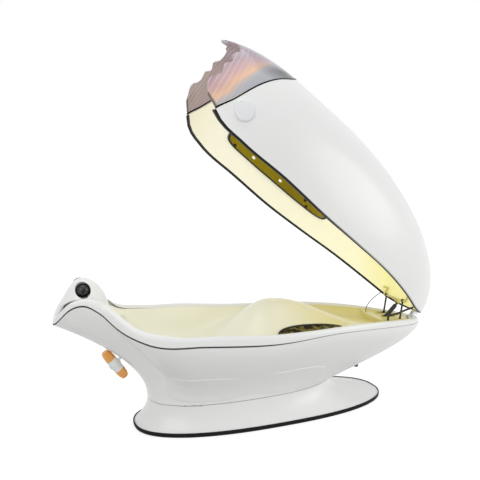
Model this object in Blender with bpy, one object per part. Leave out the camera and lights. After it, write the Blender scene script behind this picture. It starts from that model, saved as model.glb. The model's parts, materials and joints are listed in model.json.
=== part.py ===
"""Infrared wellness pod: a boat-shaped tub on a waisted pedestal under a foot-hinged lid.

Metres, +Z up. X runs from the head (-X) to the foot (+X), and the origin is the middle of the
floor outline. The lid stands open, as far as it goes.
"""

from math import cos, pi, radians, sin

import bmesh
import bpy
import numpy as np
from mathutils import Vector

# Gap between neighbouring pieces
GAP = 0.0004
SEAT_GAP = 0.0005
SEAT_DEPTH = 0.03

# Overlap of the helpers that are joined into one piece
JOIN = 0.001

# Tub outline, seen from above
HEAD_TIP_X = -1.226
FOOT_TIP_X = 1.145
WIDEST_X = -0.40
HALF_WIDTH = 0.405
BODY_HEAD_X = -1.0
SNOUT_HALF_WIDTH = 0.158
FOOT_DRAW_IN = 2.2
OUTLINE_STATIONS = 22
BEND_WEIGHT = 0.25

# Pedestal
FLOOR_HALF_LENGTH = 0.80
FLOOR_HALF_WIDTH = 0.31
TRIM_HEIGHT = 0.020
TRIM_WIDTH = 0.022
WAIST_Z = 0.165
WAIST_MIDDLE_X = -0.148
WAIST_HALF_LENGTH = 0.572
WAIST_HALF_WIDTH = 0.25
OVAL_POWER = 2.4
PLINTH_WALL = 0.012
PLINTH_DRAW_IN = 0.0015
PLINTH_LEVELS = 4

# Hull, seam and deck
HULL_LEVELS = (0.0, 0.05, 0.24, 0.46, 0.66, 0.85, 1.0)
PANEL_LEVELS = slice(1, 4)
PANEL_HEAD_X = -0.52
PANEL_FOOT_X = 0.22
PANEL_RAISE = 0.004
GASKET_HEIGHT = 0.008
SEAM_LINE = ((-1.226, 0.650), (-1.15, 0.745), (-1.08, 0.768), (-1.0, 0.722), (-0.92, 0.648),
             (-0.80, 0.586), (-0.50, 0.556), (-0.10, 0.520), (0.35, 0.522), (0.70, 0.492),
             (1.145, 0.432))
CREST_LINE = ((-1.226, 0.694), (-1.17, 0.770), (-1.08, 0.803), (-1.0, 0.775), (-0.93, 0.722),
              (-0.85, 0.664), (-0.70, 0.624), (-0.40, 0.600), (-0.10, 0.572), (0.20, 0.560),
              (0.50, 0.550), (0.80, 0.520), (1.0, 0.490), (1.145, 0.466))
DECK_LIP = 0.040
LIP_HEAD_X = -0.95
LIP_LENGTH = 0.09
LIP_HEAD_SHARE = 0.3
SEAM_WALL = 0.012

# Tub liner: the bed's spine line, its knee hump and the side walls
LINER_WALL = 0.009
LINER_HEAD_X = -0.925
LINER_FOOT_X = 0.797
LINER_STATIONS = 18
LINER_ROWS = 12
LINER_DROP = 0.014
LINER_EDGE_GAP = 0.0020
LINER_STEEPEST = 3.0
SLOPE_STEP = 0.001
BED_LINE = ((-0.925, 0.690), (-0.87, 0.630), (-0.78, 0.520), (-0.62, 0.440), (-0.40, 0.412),
            (-0.12, 0.420), (0.35, 0.440), (0.80, 0.440))
KNEE_X = 0.03
KNEE_RISE = 0.250
KNEE_HEAD_LENGTH = 0.27
KNEE_FOOT_LENGTH = 0.46
KNEE_WIDTH = 0.27

# Foot deck
FOOT_DECK_END_X = 1.035
FOOT_DECK_Z = 0.487
FOOT_DECK_FALL = 0.022
FOOT_DECK_WALL = 0.006
FOOT_DECK_SKIRT_Z = 0.437

# Head console
CONSOLE_WALL = 0.004
CONSOLE_DROP = 0.006
CONSOLE_REAR_X = -0.928
CONSOLE_ROOF = 0.006
CONSOLE_FLARE = 1.35
CONSOLE_TIP_GAP = 0.004
CONSOLE_EDGE_GAP = 0.0009
CONSOLE_STATIONS = 11
CONSOLE_LINE = ((-1.186, 0.752), (-1.17, 0.780), (-1.146, 0.822), (-1.106, 0.871), (-1.057, 0.886),
                (-1.01, 0.868), (-0.97, 0.832), (-0.945, 0.785), (-0.928, 0.722))
CONSOLE_HALF_WIDTHS = ((-1.186, 0.020), (-1.15, 0.062), (-1.08, 0.080), (-1.0, 0.080),
                       (-0.95, 0.066), (-0.928, 0.045))
VENT_X = -1.072
VENT_Z = 0.838
VENT_RADIUS = 0.0395
VENT_INNER_RADIUS = 0.0345
VENT_FACE_Y = 0.083
VENT_DEPTH = 0.030
VENT_BALL_RADIUS = 0.0335
VENT_NOZZLE_RADIUS = 0.011
VENT_LIP = 0.0035
VENT_BALL_CUT = 0.45
VENT_CUT_Y = 0.2
FAN_X = -1.02
FAN_RADIUS = 0.030
FAN_LENGTH = 0.030
FAN_WALL = 0.003
FAN_SHAFT_RADIUS = 0.003
FAN_SHAFT_END = 0.012
FAN_ROOF_GAP = 0.0006
FAN_HUB_RADIUS = 0.009
FAN_HUB_START = 0.0045
FAN_HUB_END = 0.024
FAN_BLADES = 5
FAN_BLADE_START = 0.007
FAN_BLADE_END = 0.021
FAN_BLADE_HALF = 0.0007
FAN_PITCH = 0.10
FAN_TIP_GAP = 0.0015

# Headrest pillow
PILLOW_X = -0.805
PILLOW_HALF_LENGTH = 0.07
PILLOW_HALF_ACROSS = 0.45
PILLOW_THICKNESS = 0.05

# Heaters: on the bed's knee flanks and on the lid's side walls
BED_HEATER_X = 0.22
BED_HEATER_ACROSS = 0.68
BED_HEATER_HALF_LENGTH = 0.20
BED_HEATER_HALF_ACROSS = 0.16
LID_HEATER_X = -0.185
LID_HEATER_ANGLE = 0.36
LID_HEATER_HALF_LENGTH = 0.435
LID_HEATER_HALF_ANGLE = 0.22
HEATER_FRAME_SHARE = 0.86
HEATER_PLATE_SHARE = 0.835
HEATER_RAISE = 0.010
HEATER_PLATE_RAISE = 0.006
HEATER_POWER = 4.0

# Lid, in its closed place
HINGE_X = 1.075
HINGE_Z = 0.440
LID_OPEN = radians(34.6)
LID_FOOT_X = 1.122
LID_TIP_CUT = 0.0015
LID_CLEARANCE = 0.013
LID_TAIL_START_X = 0.90
LID_TAIL_RISE = 0.040
LID_TAIL_LENGTH = 0.20
LID_LIFT_START_X = -0.81
LID_LIFT_LENGTH = 0.10
LID_HEAD_LIFT = 0.0085
LID_TOP_Z = 1.170
LID_TOP_X = -0.30
LID_HOOD_TIP_X = -1.012
LID_HOOD_RISE = 0.030
LID_HOOD_FALL = 0.089
LID_WALL = 0.006
LID_LINER_INSET = 0.028
LID_LINER_WALL = 0.006
LID_ARCH_POWER = 2.4
LID_STATIONS = 14
LID_ARCH_STEPS = 14
LID_NECK_HALF_WIDTH = 0.168
RIM_BAND_HEIGHT = 0.006
SEAL_HEIGHT = 0.0035
SEAL_WIDTH = 0.010
SEAL_INSET = 0.004
SEAL_GAP = 0.0008

# Hood at the lid's head end
HOOD_SEAM = ((0.0, -0.897), (0.1, -0.872), (0.2, -0.848), (0.3, -0.827), (0.45, -0.795), (0.6, -0.757),
             (0.8, -0.695), (1.0, -0.625), (1.2, -0.580), (1.4, -0.562), (1.571, -0.560))
HOOD_FRONT = ((0.0, -0.955), (0.08, -0.985), (0.16, -0.985), (0.25, -0.965), (0.35, -0.950), (0.5, -0.962),
              (0.62, -0.930), (0.75, -0.955), (0.9, -0.925), (1.05, -0.925), (1.2, -0.935), (1.28, -0.962),
              (1.34, -0.945), (1.45, -1.000), (1.571, -1.012))
HOOD_STATIONS = 5
HOOD_TRIM_WIDTH = 0.008
HOOD_TRIM_PROUD = 0.002
HOOD_TRIM_GAP = 0.0011
LID_EDGE_GAP = 0.0008

# Round caps on the lid's flanks
CAP_X = -0.78
CAP_ANGLE = 0.185
CAP_RADIUS = 0.053
CAP_HALF_ANGLE = 0.099
CAP_HEIGHT = 0.016
CAP_COLUMNS = 5
CAP_GAP = 0.0009

# Hinge
HINGE_PIN_RADIUS = 0.006
HINGE_KNUCKLE_RADIUS = 0.011
HINGE_LEAF_HALF_WIDTH = 0.016
HINGE_LEAF_THICKNESS = 0.016
HINGE_EAR_THICKNESS = 0.010
HINGE_SIDE_ROOM = 0.004
HINGE_BRACKET_HALF_LENGTH = 0.012
HINGE_BRACKET_LOW_Z = 0.420
HINGE_BRACKET_TOP_Z = 0.452
HINGE_BRIDGE_TOP_Z = 0.4275
HINGE_FLANGE_X = 1.100
HINGE_FLANGE_LOW_Z = 0.495
HINGE_FLANGE_TOP_Z = 0.5157
HINGE_SLOT_X = (1.052, 1.118)
HINGE_SLOT_LOW_Z = 0.3
HINGE_SLOT_TOP_Z = 0.6
HINGE_PIN_PAST = 0.002
HINGE_PLATE_LOW_Z = 0.4485
CUT_PAST = 0.01

# Gas struts and lid actuator: top pivots as the lid stands open
CROSSBAR_X = 0.953
CROSSBAR_Z = 0.603
CROSSBAR_RADIUS = 0.007
STRUT_EDGE_ROOM = 0.0139
STRUT_BASE_X = 0.918
STRUT_BASE_Z = 0.375
STRUT_RADIUS = 0.0095
STRUT_ROD_RADIUS = 0.006
STRUT_EYE_RADIUS = 0.012
STRUT_EYE_THICKNESS = 0.012
STRUT_CYLINDER_LENGTH = 0.117
STRUT_ROD_LENGTH = 0.120
STRUT_BORE_END = 0.014
ACTUATOR_TOP_X = 0.978
ACTUATOR_TOP_Z = 0.568
ACTUATOR_BASE_X = 0.800
ACTUATOR_BASE_Z = 0.395
ACTUATOR_RADIUS = 0.018
RAM_RADIUS = 0.014
RAM_NECK_END = 0.018
RAM_SHOULDER = 0.023
ACTUATOR_BODY_LENGTH = 0.125
ACTUATOR_RAM_LENGTH = 0.130
BOOT_HEIGHT = 0.006
SLOT_CUT = 0.05
SLOT_SIDES = 16
BOOT_WALL = 0.006
STRUT_SLOT_X = (0.868, 0.954)
STRUT_SLOT_HALF = 0.0135
RAM_SLOT_X = (0.850, 0.962)
RAM_SLOT_HALF = 0.020
CROSSBAR_PAST_STRUT = 0.028
CROSSBAR_PLATE = 0.008
CROSSBAR_ARM = 0.012
CROSSBAR_TOP_Z = 0.560
CROSSBAR_REACH = 0.165
LUG_INNER_Y = 0.0085
LUG_OUTER_Y = 0.0125
LUG_HALF_HEIGHT = 0.007
ACTUATOR_PIN_RADIUS = 0.005
ACTUATOR_EYE_RADIUS = 0.012
ACTUATOR_BASE_PIN_RADIUS = 0.005
ACTUATOR_BASE_PLAY = 0.011
ACTUATOR_EYE_WALL = 0.004
STRUT_BASE_PIN_RADIUS = 0.004
STRUT_BASE_PLAY = 0.0045
STRUT_BASE_EYE_RADIUS = 0.0125
FOOT_BAR_HALF_LENGTH = 0.30
FOOT_BEAM_HALF_WIDTH = 0.010
FOOT_BEAM_LOW_Z = 0.352
FOOT_BEAM_TOP_Z = 0.362
FOOT_POST_HALF = 0.003
FOOT_CHEEK_HALF = 0.015
FOOT_CHEEK_ROOM = 0.002
FOOT_CHEEK_WALL = 0.006
FOOT_CHEEK_TOP_Z = 0.410
FOOT_CUT_LOW_Z = 0.2

# Cables between lid and foot deck
CABLE_SEAT = 0.0018
CABLE_UPRIGHT = 0.02
CONDUIT_RADIUS = 0.0065
CONDUIT_TOP = (1.0035, -0.1345, 0.5645)
CONDUIT_BENDS = ((0.957, -0.120, 0.548), (0.895, -0.118, 0.530))
CONDUIT_END_X = 0.836
CONDUIT_END_Y = 0.100
LEAD_RADIUS = 0.002
LEAD_TOP = (0.957, 0.150, 0.6125)
LEAD_BENDS = ((0.90, 0.145, 0.585), (0.84, 0.138, 0.540))
LEAD_END_X = 0.815
LEAD_END_Y = 0.125

# Aroma cartridge under the head overhang
CARTRIDGE_UPPER = (-0.9595, 0.0, 0.462)
CARTRIDGE_LOWER = (-0.8485, 0.0, 0.308)
CARTRIDGE_RADIUS = 0.030
CARTRIDGE_TUBE_LENGTH = 0.075
CARTRIDGE_CLIP_WIDTH = 0.022
CARTRIDGE_CLIP_WALL = 0.004
CARTRIDGE_STEM = (0.662, 0.0, 0.749)
CARTRIDGE_STEM_RADIUS = 0.008
CARTRIDGE_STEM_END = 0.09

# Drain plug, inner frame, levelling feet and control box
DRAIN_LOW = (0.603, -0.100, 0.208)
DRAIN_RADIUS = 0.015
RAIL_LOW_Z = 0.0454
RAIL_HEIGHT = 0.030
RAIL_WIDTH = 0.040
RAIL_Y = 0.145
FRAME_HEAD_X = -0.45
FRAME_FOOT_X = 0.20
POST_HALF_WIDTH = 0.015
POST_TOP_Z = 0.62
FOOT_PAD_RADIUS = 0.022
FOOT_STEM_RADIUS = 0.007
FOOT_PAD_HEIGHT = 0.006
FOOT_NECK_Z = 0.010
CONTROL_BOX_HEAD_X = -0.33
CONTROL_BOX_FOOT_X = -0.05
CONTROL_BOX_HALF_WIDTH = 0.155
CONTROL_BOX_HEIGHT = 0.080


# Corner order of a box's six faces
BOX_FACES = [(0, 1, 3, 2), (4, 6, 7, 5), (0, 4, 5, 1), (2, 3, 7, 6), (0, 2, 6, 4), (1, 5, 7, 3)]


def clear_scene():
    for thing in list(bpy.data.objects):
        bpy.data.objects.remove(thing)


def material(name, colour, roughness, metallic=0.0):
    made = bpy.data.materials.new(name)
    made.use_nodes = True
    shader = made.node_tree.nodes["Principled BSDF"]
    shader.inputs["Base Color"].default_value = (*colour, 1.0)
    shader.inputs["Roughness"].default_value = roughness
    shader.inputs["Metallic"].default_value = metallic
    return made


def make(name, points, faces, look, origin=(0.0, 0.0, 0.0), parent=None):
    """One closed piece with its origin at a place, which is its parent's own origin if it has one."""
    points = np.asarray(points, float) - np.asarray(origin, float)
    mesh = bpy.data.meshes.new(name)
    mesh.from_pydata([tuple(p) for p in points], [], faces)
    shape = bmesh.new()
    shape.from_mesh(mesh)
    bmesh.ops.recalc_face_normals(shape, faces=shape.faces)
    bmesh.ops.triangulate(shape, faces=shape.faces, quad_method="SHORT_EDGE")
    shape.to_mesh(mesh)
    shape.free()
    mesh.shade_smooth()
    mesh.set_sharp_from_angle(angle=radians(35))
    piece = bpy.data.objects.new(name, mesh)
    bpy.context.scene.collection.objects.link(piece)
    if look is not None:
        mesh.materials.append(look)
    if parent is None:
        piece.location = origin
    else:
        piece.parent = parent
    return piece


def ring_faces(rings, around, start=0):
    """Quads that join each ring to the next, and the last to the first."""
    faces = []
    for k in range(rings):
        here = start + k * around
        there = start + (k + 1) % rings * around
        for j in range(around):
            faces.append((here + j, here + (j + 1) % around, there + (j + 1) % around, there + j))
    return faces


def ring_solid(name, rings, look, **place):
    """A hoop: closed rings that follow each other round a closed section."""
    around = len(rings[0])
    return make(name, np.concatenate(rings), ring_faces(len(rings), around), look, **place)


def sheet_solid(name, upper, lower, look, **place):
    """A bent plate between two grids of points."""
    rows, columns = upper.shape[:2]
    under = rows * columns
    faces = []
    for i in range(rows - 1):
        for j in range(columns - 1):
            corner = i * columns + j
            quad = (corner, corner + 1, corner + columns + 1, corner + columns)
            faces.append(quad)
            faces.append(tuple(under + c for c in reversed(quad)))
    rim = [j for j in range(columns)]
    rim += [i * columns + columns - 1 for i in range(1, rows)]
    rim += [(rows - 1) * columns + j for j in range(columns - 2, -1, -1)]
    rim += [i * columns for i in range(rows - 2, 0, -1)]
    for here, there in zip(rim, rim[1:] + rim[:1]):
        faces.append((here, under + here, under + there, there))
    points = np.concatenate([upper.reshape(-1, 3), lower.reshape(-1, 3)])
    return make(name, points, faces, look, **place)


def turned(name, base, axis, section, look, sides=16, hollow=False, **place):
    """A turned piece from (distance along the axis, radius) pairs. A hollow one closes on itself."""
    axis = Vector(axis).normalized()
    across = axis.orthogonal().normalized()
    along = axis.cross(across)
    angles = [2 * pi * k / sides for k in range(sides)]
    rings = []
    for distance, radius in section:
        middle = Vector(base) + axis * distance
        rings.append([middle + radius * (cos(a) * across + sin(a) * along) for a in angles])
    points = [tuple(p) for ring in rings for p in ring]
    if hollow:
        return make(name, points, ring_faces(len(rings), sides), look, **place)
    faces = ring_faces(len(rings), sides)[: (len(rings) - 1) * sides]
    last = (len(rings) - 1) * sides
    faces.append(tuple(range(sides)))
    faces.append(tuple(last + k for k in range(sides)))
    return make(name, points, faces, look, **place)


def box(name, low, high, look, **place):
    points = [(x, y, z) for x in (low[0], high[0]) for y in (low[1], high[1]) for z in (low[2], high[2])]
    return make(name, points, BOX_FACES, look, **place)


def link(name, start, end, half, y_low, y_high, look, **place):
    """A flat bar between two places in the XZ plane, half its height past each of them."""
    start, end = np.array(start), np.array(end)
    along = (end - start) / np.linalg.norm(end - start) * half
    across = np.array((-along[1], along[0]))
    points = []
    for corner in (start - along, end + along):
        for y in (y_low, y_high):
            for side in (-1, 1):
                x, z = corner + side * across
                points.append((x, y, z))
    return make(name, points, BOX_FACES, look, **place)


def crosswise(name, x, z, half_length, radius, look, bore=None, y=0.0, sides=12, **place):
    """A pin along Y about a place, or an eye with a bore."""
    section = [(0, radius), (2 * half_length, radius)]
    if bore is not None:
        section += [(2 * half_length, bore), (0, bore)]
    base = (x, y - half_length, z)
    return turned(name, base, (0, 1, 0), section, look, sides, hollow=bore is not None, **place)


def tube(name, stops, radius, look, steps=4, sides=8):
    """A round cable through a few places."""
    stops = np.array(stops)
    measure = np.concatenate([[0], np.cumsum(np.linalg.norm(np.diff(stops, axis=0), axis=1))])
    fine = np.linspace(0, measure[-1], steps * (len(stops) - 1) + 1)
    path = [curve_through(np.stack([measure, stops[:, k]], 1))(fine) for k in range(3)]
    path = np.stack(path, 1)
    heading = np.gradient(path, axis=0)
    heading /= np.linalg.norm(heading, axis=1, keepdims=True)
    across = np.cross(heading, (0, 1, 0))
    across /= np.linalg.norm(across, axis=1, keepdims=True)
    other = np.cross(heading, across)
    angles = 2 * pi * np.arange(sides) / sides
    rings = []
    for k in range(len(path)):
        turn = np.outer(np.cos(angles), across[k]) + np.outer(np.sin(angles), other[k])
        rings.append(path[k] + radius * turn)
    faces = ring_faces(len(rings), sides)[: (len(rings) - 1) * sides]
    faces.append(tuple(range(sides)))
    faces.append(tuple((len(rings) - 1) * sides + k for k in range(sides)))
    return make(name, np.concatenate(rings), faces, look)


def combine(piece, other, operation):
    """Join a helper to a piece, or cut it out, and drop the helper."""
    step = piece.modifiers.new(operation.lower(), "BOOLEAN")
    step.operation = operation
    step.object = other
    step.solver = "EXACT"
    bpy.context.view_layer.update()
    seen = piece.evaluated_get(bpy.context.evaluated_depsgraph_get())
    result = bpy.data.meshes.new_from_object(seen)
    piece.modifiers.remove(step)
    shape = bmesh.new()
    shape.from_mesh(result)
    bmesh.ops.dissolve_limit(shape, angle_limit=radians(0.1), verts=shape.verts, edges=shape.edges)
    bmesh.ops.triangulate(shape, faces=shape.faces)
    shape.to_mesh(result)
    shape.free()
    piece.data = result
    bpy.data.objects.remove(other)


def curve_through(points):
    """A smooth height over x through the given points."""
    xs, zs = np.array(points).T
    slopes = np.gradient(zs, xs)

    def value(x):
        x = np.clip(x, xs[0], xs[-1])
        k = np.clip(np.searchsorted(xs, x) - 1, 0, len(xs) - 2)
        step = xs[k + 1] - xs[k]
        t = (x - xs[k]) / step
        low = (1 + 2 * t) * (1 - t) ** 2 * zs[k] + t * (1 - t) ** 2 * step * slopes[k]
        high = t * t * (3 - 2 * t) * zs[k + 1] + t * t * (t - 1) * step * slopes[k + 1]
        return low + high

    return value


seam_z = curve_through(SEAM_LINE)
crest_z = curve_through(CREST_LINE)
bed_spine_z = curve_through(BED_LINE)
console_top_z = curve_through(CONSOLE_LINE)
console_half_width = curve_through(CONSOLE_HALF_WIDTHS)
hood_seam = curve_through(HOOD_SEAM)


def half_width(x, inset=0.0, foot_tip=FOOT_TIP_X, neck=SNOUT_HALF_WIDTH):
    """Half the outline's width at x, with the whole outline drawn in by inset."""
    x = np.asarray(x, float)
    foot_u = np.clip((x - WIDEST_X) / (foot_tip - FOOT_DRAW_IN * inset - WIDEST_X), 0, 1)
    head_u = np.clip((WIDEST_X - x) / (WIDEST_X - BODY_HEAD_X - inset), 0, 1)
    snout_u = np.clip((BODY_HEAD_X - x) / (BODY_HEAD_X - HEAD_TIP_X - inset), 0, 1)
    fade = np.clip((x - BODY_HEAD_X) / (WIDEST_X - BODY_HEAD_X), 0, 1)
    ends = np.where(x > WIDEST_X, (1 - foot_u**2.1) ** (1 / 1.55), (1 - head_u**2.6) ** 0.5)
    body = (HALF_WIDTH - inset) * ends
    snout = (neck - inset) * (1 - snout_u**2.4) ** 0.5 * (1 - fade**2)
    return (body**4 + snout**4) ** 0.25


def outline_shares(count):
    """Shares of the length at which the outline has points, closer where it bends."""
    middle = (HEAD_TIP_X + FOOT_TIP_X) / 2
    x = middle - (FOOT_TIP_X - HEAD_TIP_X) / 2 * np.cos(np.linspace(0, pi, 800))
    y = half_width(x)
    heading = np.unwrap(np.arctan2(np.diff(y), np.diff(x)))
    turning = np.abs(np.diff(heading, prepend=heading[0]))
    steps = np.hypot(np.diff(x), np.diff(y)) + BEND_WEIGHT * turning
    measure = np.concatenate([[0.0], np.cumsum(steps)])
    stations = np.interp(np.linspace(0, measure[-1], count), measure, x)
    return (stations - HEAD_TIP_X) / (FOOT_TIP_X - HEAD_TIP_X)


SHARES = outline_shares(OUTLINE_STATIONS)


def both_sides(x, y, z):
    """A closed ring from one side's stations: near side to the foot, far side back."""
    near = np.stack([x, -y, z], 1)
    far = np.stack([x, y, z], 1)[-2:0:-1]
    return np.concatenate([near, far])


def outline_ring(inset, height):
    """The tub's outline drawn in by inset, at a height that varies along it."""
    head = HEAD_TIP_X + inset
    foot = FOOT_TIP_X - FOOT_DRAW_IN * inset
    x = head + SHARES * (foot - head)
    y = half_width(x, inset)
    y[0] = y[-1] = 0.0
    whole_x = HEAD_TIP_X + SHARES * (FOOT_TIP_X - HEAD_TIP_X)
    return both_sides(x, y, height(whole_x))


def oval_ring(middle, half_length, half_wide, z):
    """A pedestal oval whose points follow the tub outline's."""
    x = middle + half_length * (2 * SHARES - 1)
    y = half_wide * (1 - np.abs(2 * SHARES - 1) ** OVAL_POWER) ** (1 / OVAL_POWER)
    y[0] = y[-1] = 0.0
    return both_sides(x, y, np.full_like(x, z))


def waist_ring(inset, z):
    return oval_ring(WAIST_MIDDLE_X, WAIST_HALF_LENGTH - inset, WAIST_HALF_WIDTH - inset, z)


def floor_ring(inset, z):
    return oval_ring(0.0, FLOOR_HALF_LENGTH - inset, FLOOR_HALF_WIDTH - inset, z)


def plinth_ring(share, inset):
    """A ring of the plinth, from the floor at 0 to the waist at 1."""
    low = floor_ring(inset, TRIM_HEIGHT + GAP)
    high = waist_ring(inset, WAIST_Z - GAP)
    ring = high + (low - high) * (1 - share) ** 2.3
    ring[:, 2] = low[:, 2] + (high[:, 2] - low[:, 2]) * share
    return ring


def hull_ring(share, inset):
    """A ring of the hull, from the waist at 0 to the seam at 1."""
    low = waist_ring(inset, WAIST_Z)
    high = outline_ring(inset, lambda x: seam_z(x) - GASKET_HEIGHT / 2 - GAP)
    along = 2 * np.concatenate([SHARES, SHARES[-2:0:-1]]) - 1
    head = np.clip(-along, 0, 1) ** 2
    foot = np.clip(along, 0, 1) ** 2
    side = 1 - head - foot
    out = head * share**1.9 + foot * (1 - (1 - share) ** 1.9) + side * share**2 * (3 - 2 * share)
    ring = low + (high - low) * out[:, None]
    ring[:, 2] = low[:, 2] + (high[:, 2] - low[:, 2]) * share
    return ring


def lid_rim_z(x):
    """Height of the closed lid's lower edge: over the deck's crest, and higher at its two ends."""
    tail = np.clip((np.asarray(x) - LID_TAIL_START_X) / LID_TAIL_LENGTH, 0, None)
    head = np.clip((LID_LIFT_START_X - np.asarray(x)) / LID_LIFT_LENGTH, 0, 1)
    return crest_z(x) + LID_CLEARANCE + LID_TAIL_RISE * tail**2 + LID_HEAD_LIFT * head**2


def lid_crown_z(x, inset):
    """Height of the closed lid's middle line."""
    x = np.asarray(x, float)
    foot_tip = LID_FOOT_X - inset
    base = float(lid_rim_z(LID_FOOT_X))
    back = np.clip((x - LID_TOP_X) / (foot_tip - LID_TOP_X), 0, 1)
    front = np.clip((LID_TOP_X - x) / (LID_TOP_X - LID_HOOD_TIP_X), 0, None)
    behind = base + (LID_TOP_Z - inset - base) * (1 - back**1.9) ** (1 / 1.9)
    ahead = LID_TOP_Z - inset + LID_HOOD_RISE * front - LID_HOOD_FALL * front**4
    return np.where(x > LID_TOP_X, behind, ahead)


def lid_point(x, angle, inset=0.0):
    """A point of the closed lid: angle 0 at the near rim, pi at the far rim."""
    wide = half_width(x, inset, LID_FOOT_X + (FOOT_DRAW_IN - 1) * inset, LID_NECK_HALF_WIDTH)
    rim = lid_rim_z(x)
    crown = np.maximum(lid_crown_z(x, inset), rim + 0.002)
    y = -np.sign(np.cos(angle)) * wide * np.abs(np.cos(angle)) ** (2 / LID_ARCH_POWER)
    z = rim + (crown - rim) * np.sin(angle) ** (2 / LID_ARCH_POWER)
    return np.stack(np.broadcast_arrays(x, y, z), -1)


def from_rim(angle):
    """The angle up from the nearer rim."""
    return np.minimum(angle, pi - angle)


def hood_seam_x(angle):
    """Where the seam between lid and hood crosses the arch at this angle."""
    return hood_seam(from_rim(angle))


ARCH = np.linspace(0, pi, LID_ARCH_STEPS + 1)


def lid_grid(inset, start_shift):
    """Lid points from the hood seam to the foot, closer together at the foot."""
    share = np.sin(np.linspace(0, pi / 2, LID_STATIONS))[:, None]
    start = hood_seam_x(ARCH)[None, :] + start_shift
    end = LID_FOOT_X - inset - LID_TIP_CUT
    x = start + (end - start) * share
    return lid_point(x, np.broadcast_to(ARCH, x.shape), inset)


def bed_z(x, y):
    """Upper face of the bed: a trough with a knee hump and steep side walls."""
    wide = half_width(x, DECK_LIP + GAP)
    across = np.clip(np.abs(y) / wide, 0, 1)
    edge = crest_z(x) - LINER_DROP
    floor = bed_spine_z(x)
    length = np.where(x < KNEE_X, KNEE_HEAD_LENGTH, KNEE_FOOT_LENGTH)
    hump = KNEE_RISE * np.exp(-(((x - KNEE_X) / length) ** 2)) * np.exp(-((y / KNEE_WIDTH) ** 2))
    return floor + (edge - floor) * across**5 + hump * (1 - across**4)


def grid_surface(grid, seconds):
    """A surface over x and a second measure, flat between a grid's points as the piece itself is."""
    rows = np.arange(grid.shape[0])
    columns = np.arange(grid.shape[1])

    def surface(x, second):
        x, second = np.broadcast_arrays(np.atleast_1d(x), np.atleast_1d(second))
        points = []
        for one_x, one_second in zip(x.ravel(), second.ravel()):
            column = np.interp(one_second, seconds, columns)
            j = min(int(column), len(columns) - 2)
            line = grid[:, j] + (column - j) * (grid[:, j + 1] - grid[:, j])
            row = np.interp(one_x, line[:, 0], rows)
            i = min(int(row), len(rows) - 2)
            points.append(line[i] + (row - i) * (line[i + 1] - line[i]))
        return np.array(points).reshape(*x.shape, 3)

    return surface


def lifted(surface, x, second, raise_by, towards):
    """Points of a surface lifted along its normals, towards a place."""
    step = 0.03
    along = surface(x + step, second) - surface(x - step, second)
    across = surface(x, second + step) - surface(x, second - step)
    normal = np.cross(along, across)
    normal /= np.linalg.norm(normal, axis=-1, keepdims=True)
    points = surface(x, second)
    facing = np.sign(np.sum((np.asarray(towards) - points) * normal, -1, keepdims=True))
    return points + raise_by * facing * normal


def grid_normals(grid, towards):
    """Unit normals at a grid's points, turned towards a place."""
    along = np.gradient(grid, axis=0)
    across = np.gradient(grid, axis=1)
    normal = np.cross(along, across)
    normal /= np.linalg.norm(normal, axis=-1, keepdims=True)
    return normal * np.sign(np.sum((np.asarray(towards) - grid) * normal, -1, keepdims=True))


def seat_on(piece, grid, towards, gap=SEAT_GAP, **place):
    """Cut a piece's back so that it lies on a wall, whose outer face the grid is."""
    normals = grid_normals(grid, towards)
    wall = sheet_solid("wall", grid + gap * normals, grid - SEAT_DEPTH * normals, None, **place)
    combine(piece, wall, "DIFFERENCE")


def patch_ring(patch, share, raise_by):
    """A ring that lies on a surface: an oblong with round ends, or a circle."""
    surface, middle, halves, power, towards, sides = patch
    angle = np.linspace(0, 2 * pi, sides, endpoint=False) + pi / sides
    u = share * halves[0] * np.sign(np.cos(angle)) * np.abs(np.cos(angle)) ** (2 / power)
    v = share * halves[1] * np.sign(np.sin(angle)) * np.abs(np.sin(angle)) ** (2 / power)
    return lifted(surface, middle[0] + u, middle[1] + v, raise_by, towards)


def patch_disc(name, patch, upper, lower, look, **place):
    """A plate on a surface, from (share of its size, lift) pairs read inwards, above and below."""
    rings = [patch_ring(patch, *pair) for pair in upper]
    rings += [patch_ring(patch, *pair) for pair in reversed(lower)]
    around = len(rings[0])
    inmost = len(upper) - 1
    faces = ring_faces(len(rings), around)
    faces = faces[: inmost * around] + faces[(inmost + 1) * around :]
    faces.append(tuple(inmost * around + j for j in range(around)))
    faces.append(tuple((inmost + 1) * around + j for j in range(around)))
    return make(name, np.concatenate(rings), faces, look, **place)


def heater(name, patch, grid, looks, **place):
    """A raised frame with a plate inside it, both lying on the wall behind."""
    share = HEATER_FRAME_SHARE
    section = ((1.0, -HEATER_RAISE), (1.0, 0.6 * HEATER_RAISE), (0.97, HEATER_RAISE), (share, HEATER_RAISE))
    rings = [patch_ring(patch, *pair) for pair in (*section, (share, -HEATER_RAISE))]
    frame = ring_solid(name + "_frame", rings, looks[0], **place)
    upper = [(step * HEATER_PLATE_SHARE, HEATER_PLATE_RAISE) for step in (1.0, 0.7, 0.4, 0.15)]
    lower = [(step, -HEATER_RAISE) for step, _ in upper]
    plate = patch_disc(name + "_plate", patch, upper, lower, looks[1], **place)
    seat_on(frame, grid, patch[4], **place)
    seat_on(plate, grid, patch[4], **place)


def build_pedestal(looks):
    trim = [floor_ring(0, 0), floor_ring(0, TRIM_HEIGHT)]
    trim += [floor_ring(TRIM_WIDTH, TRIM_HEIGHT), floor_ring(TRIM_WIDTH, 0)]
    ring_solid("floor_trim", trim, looks["rubber"])
    outer = [plinth_ring(s, PLINTH_DRAW_IN) for s in np.linspace(0, 1, PLINTH_LEVELS)]
    inner = [plinth_ring(s, PLINTH_WALL) for s in np.linspace(1, 0, PLINTH_LEVELS)]
    ring_solid("base_plinth", outer + inner, looks["white"])


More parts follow.
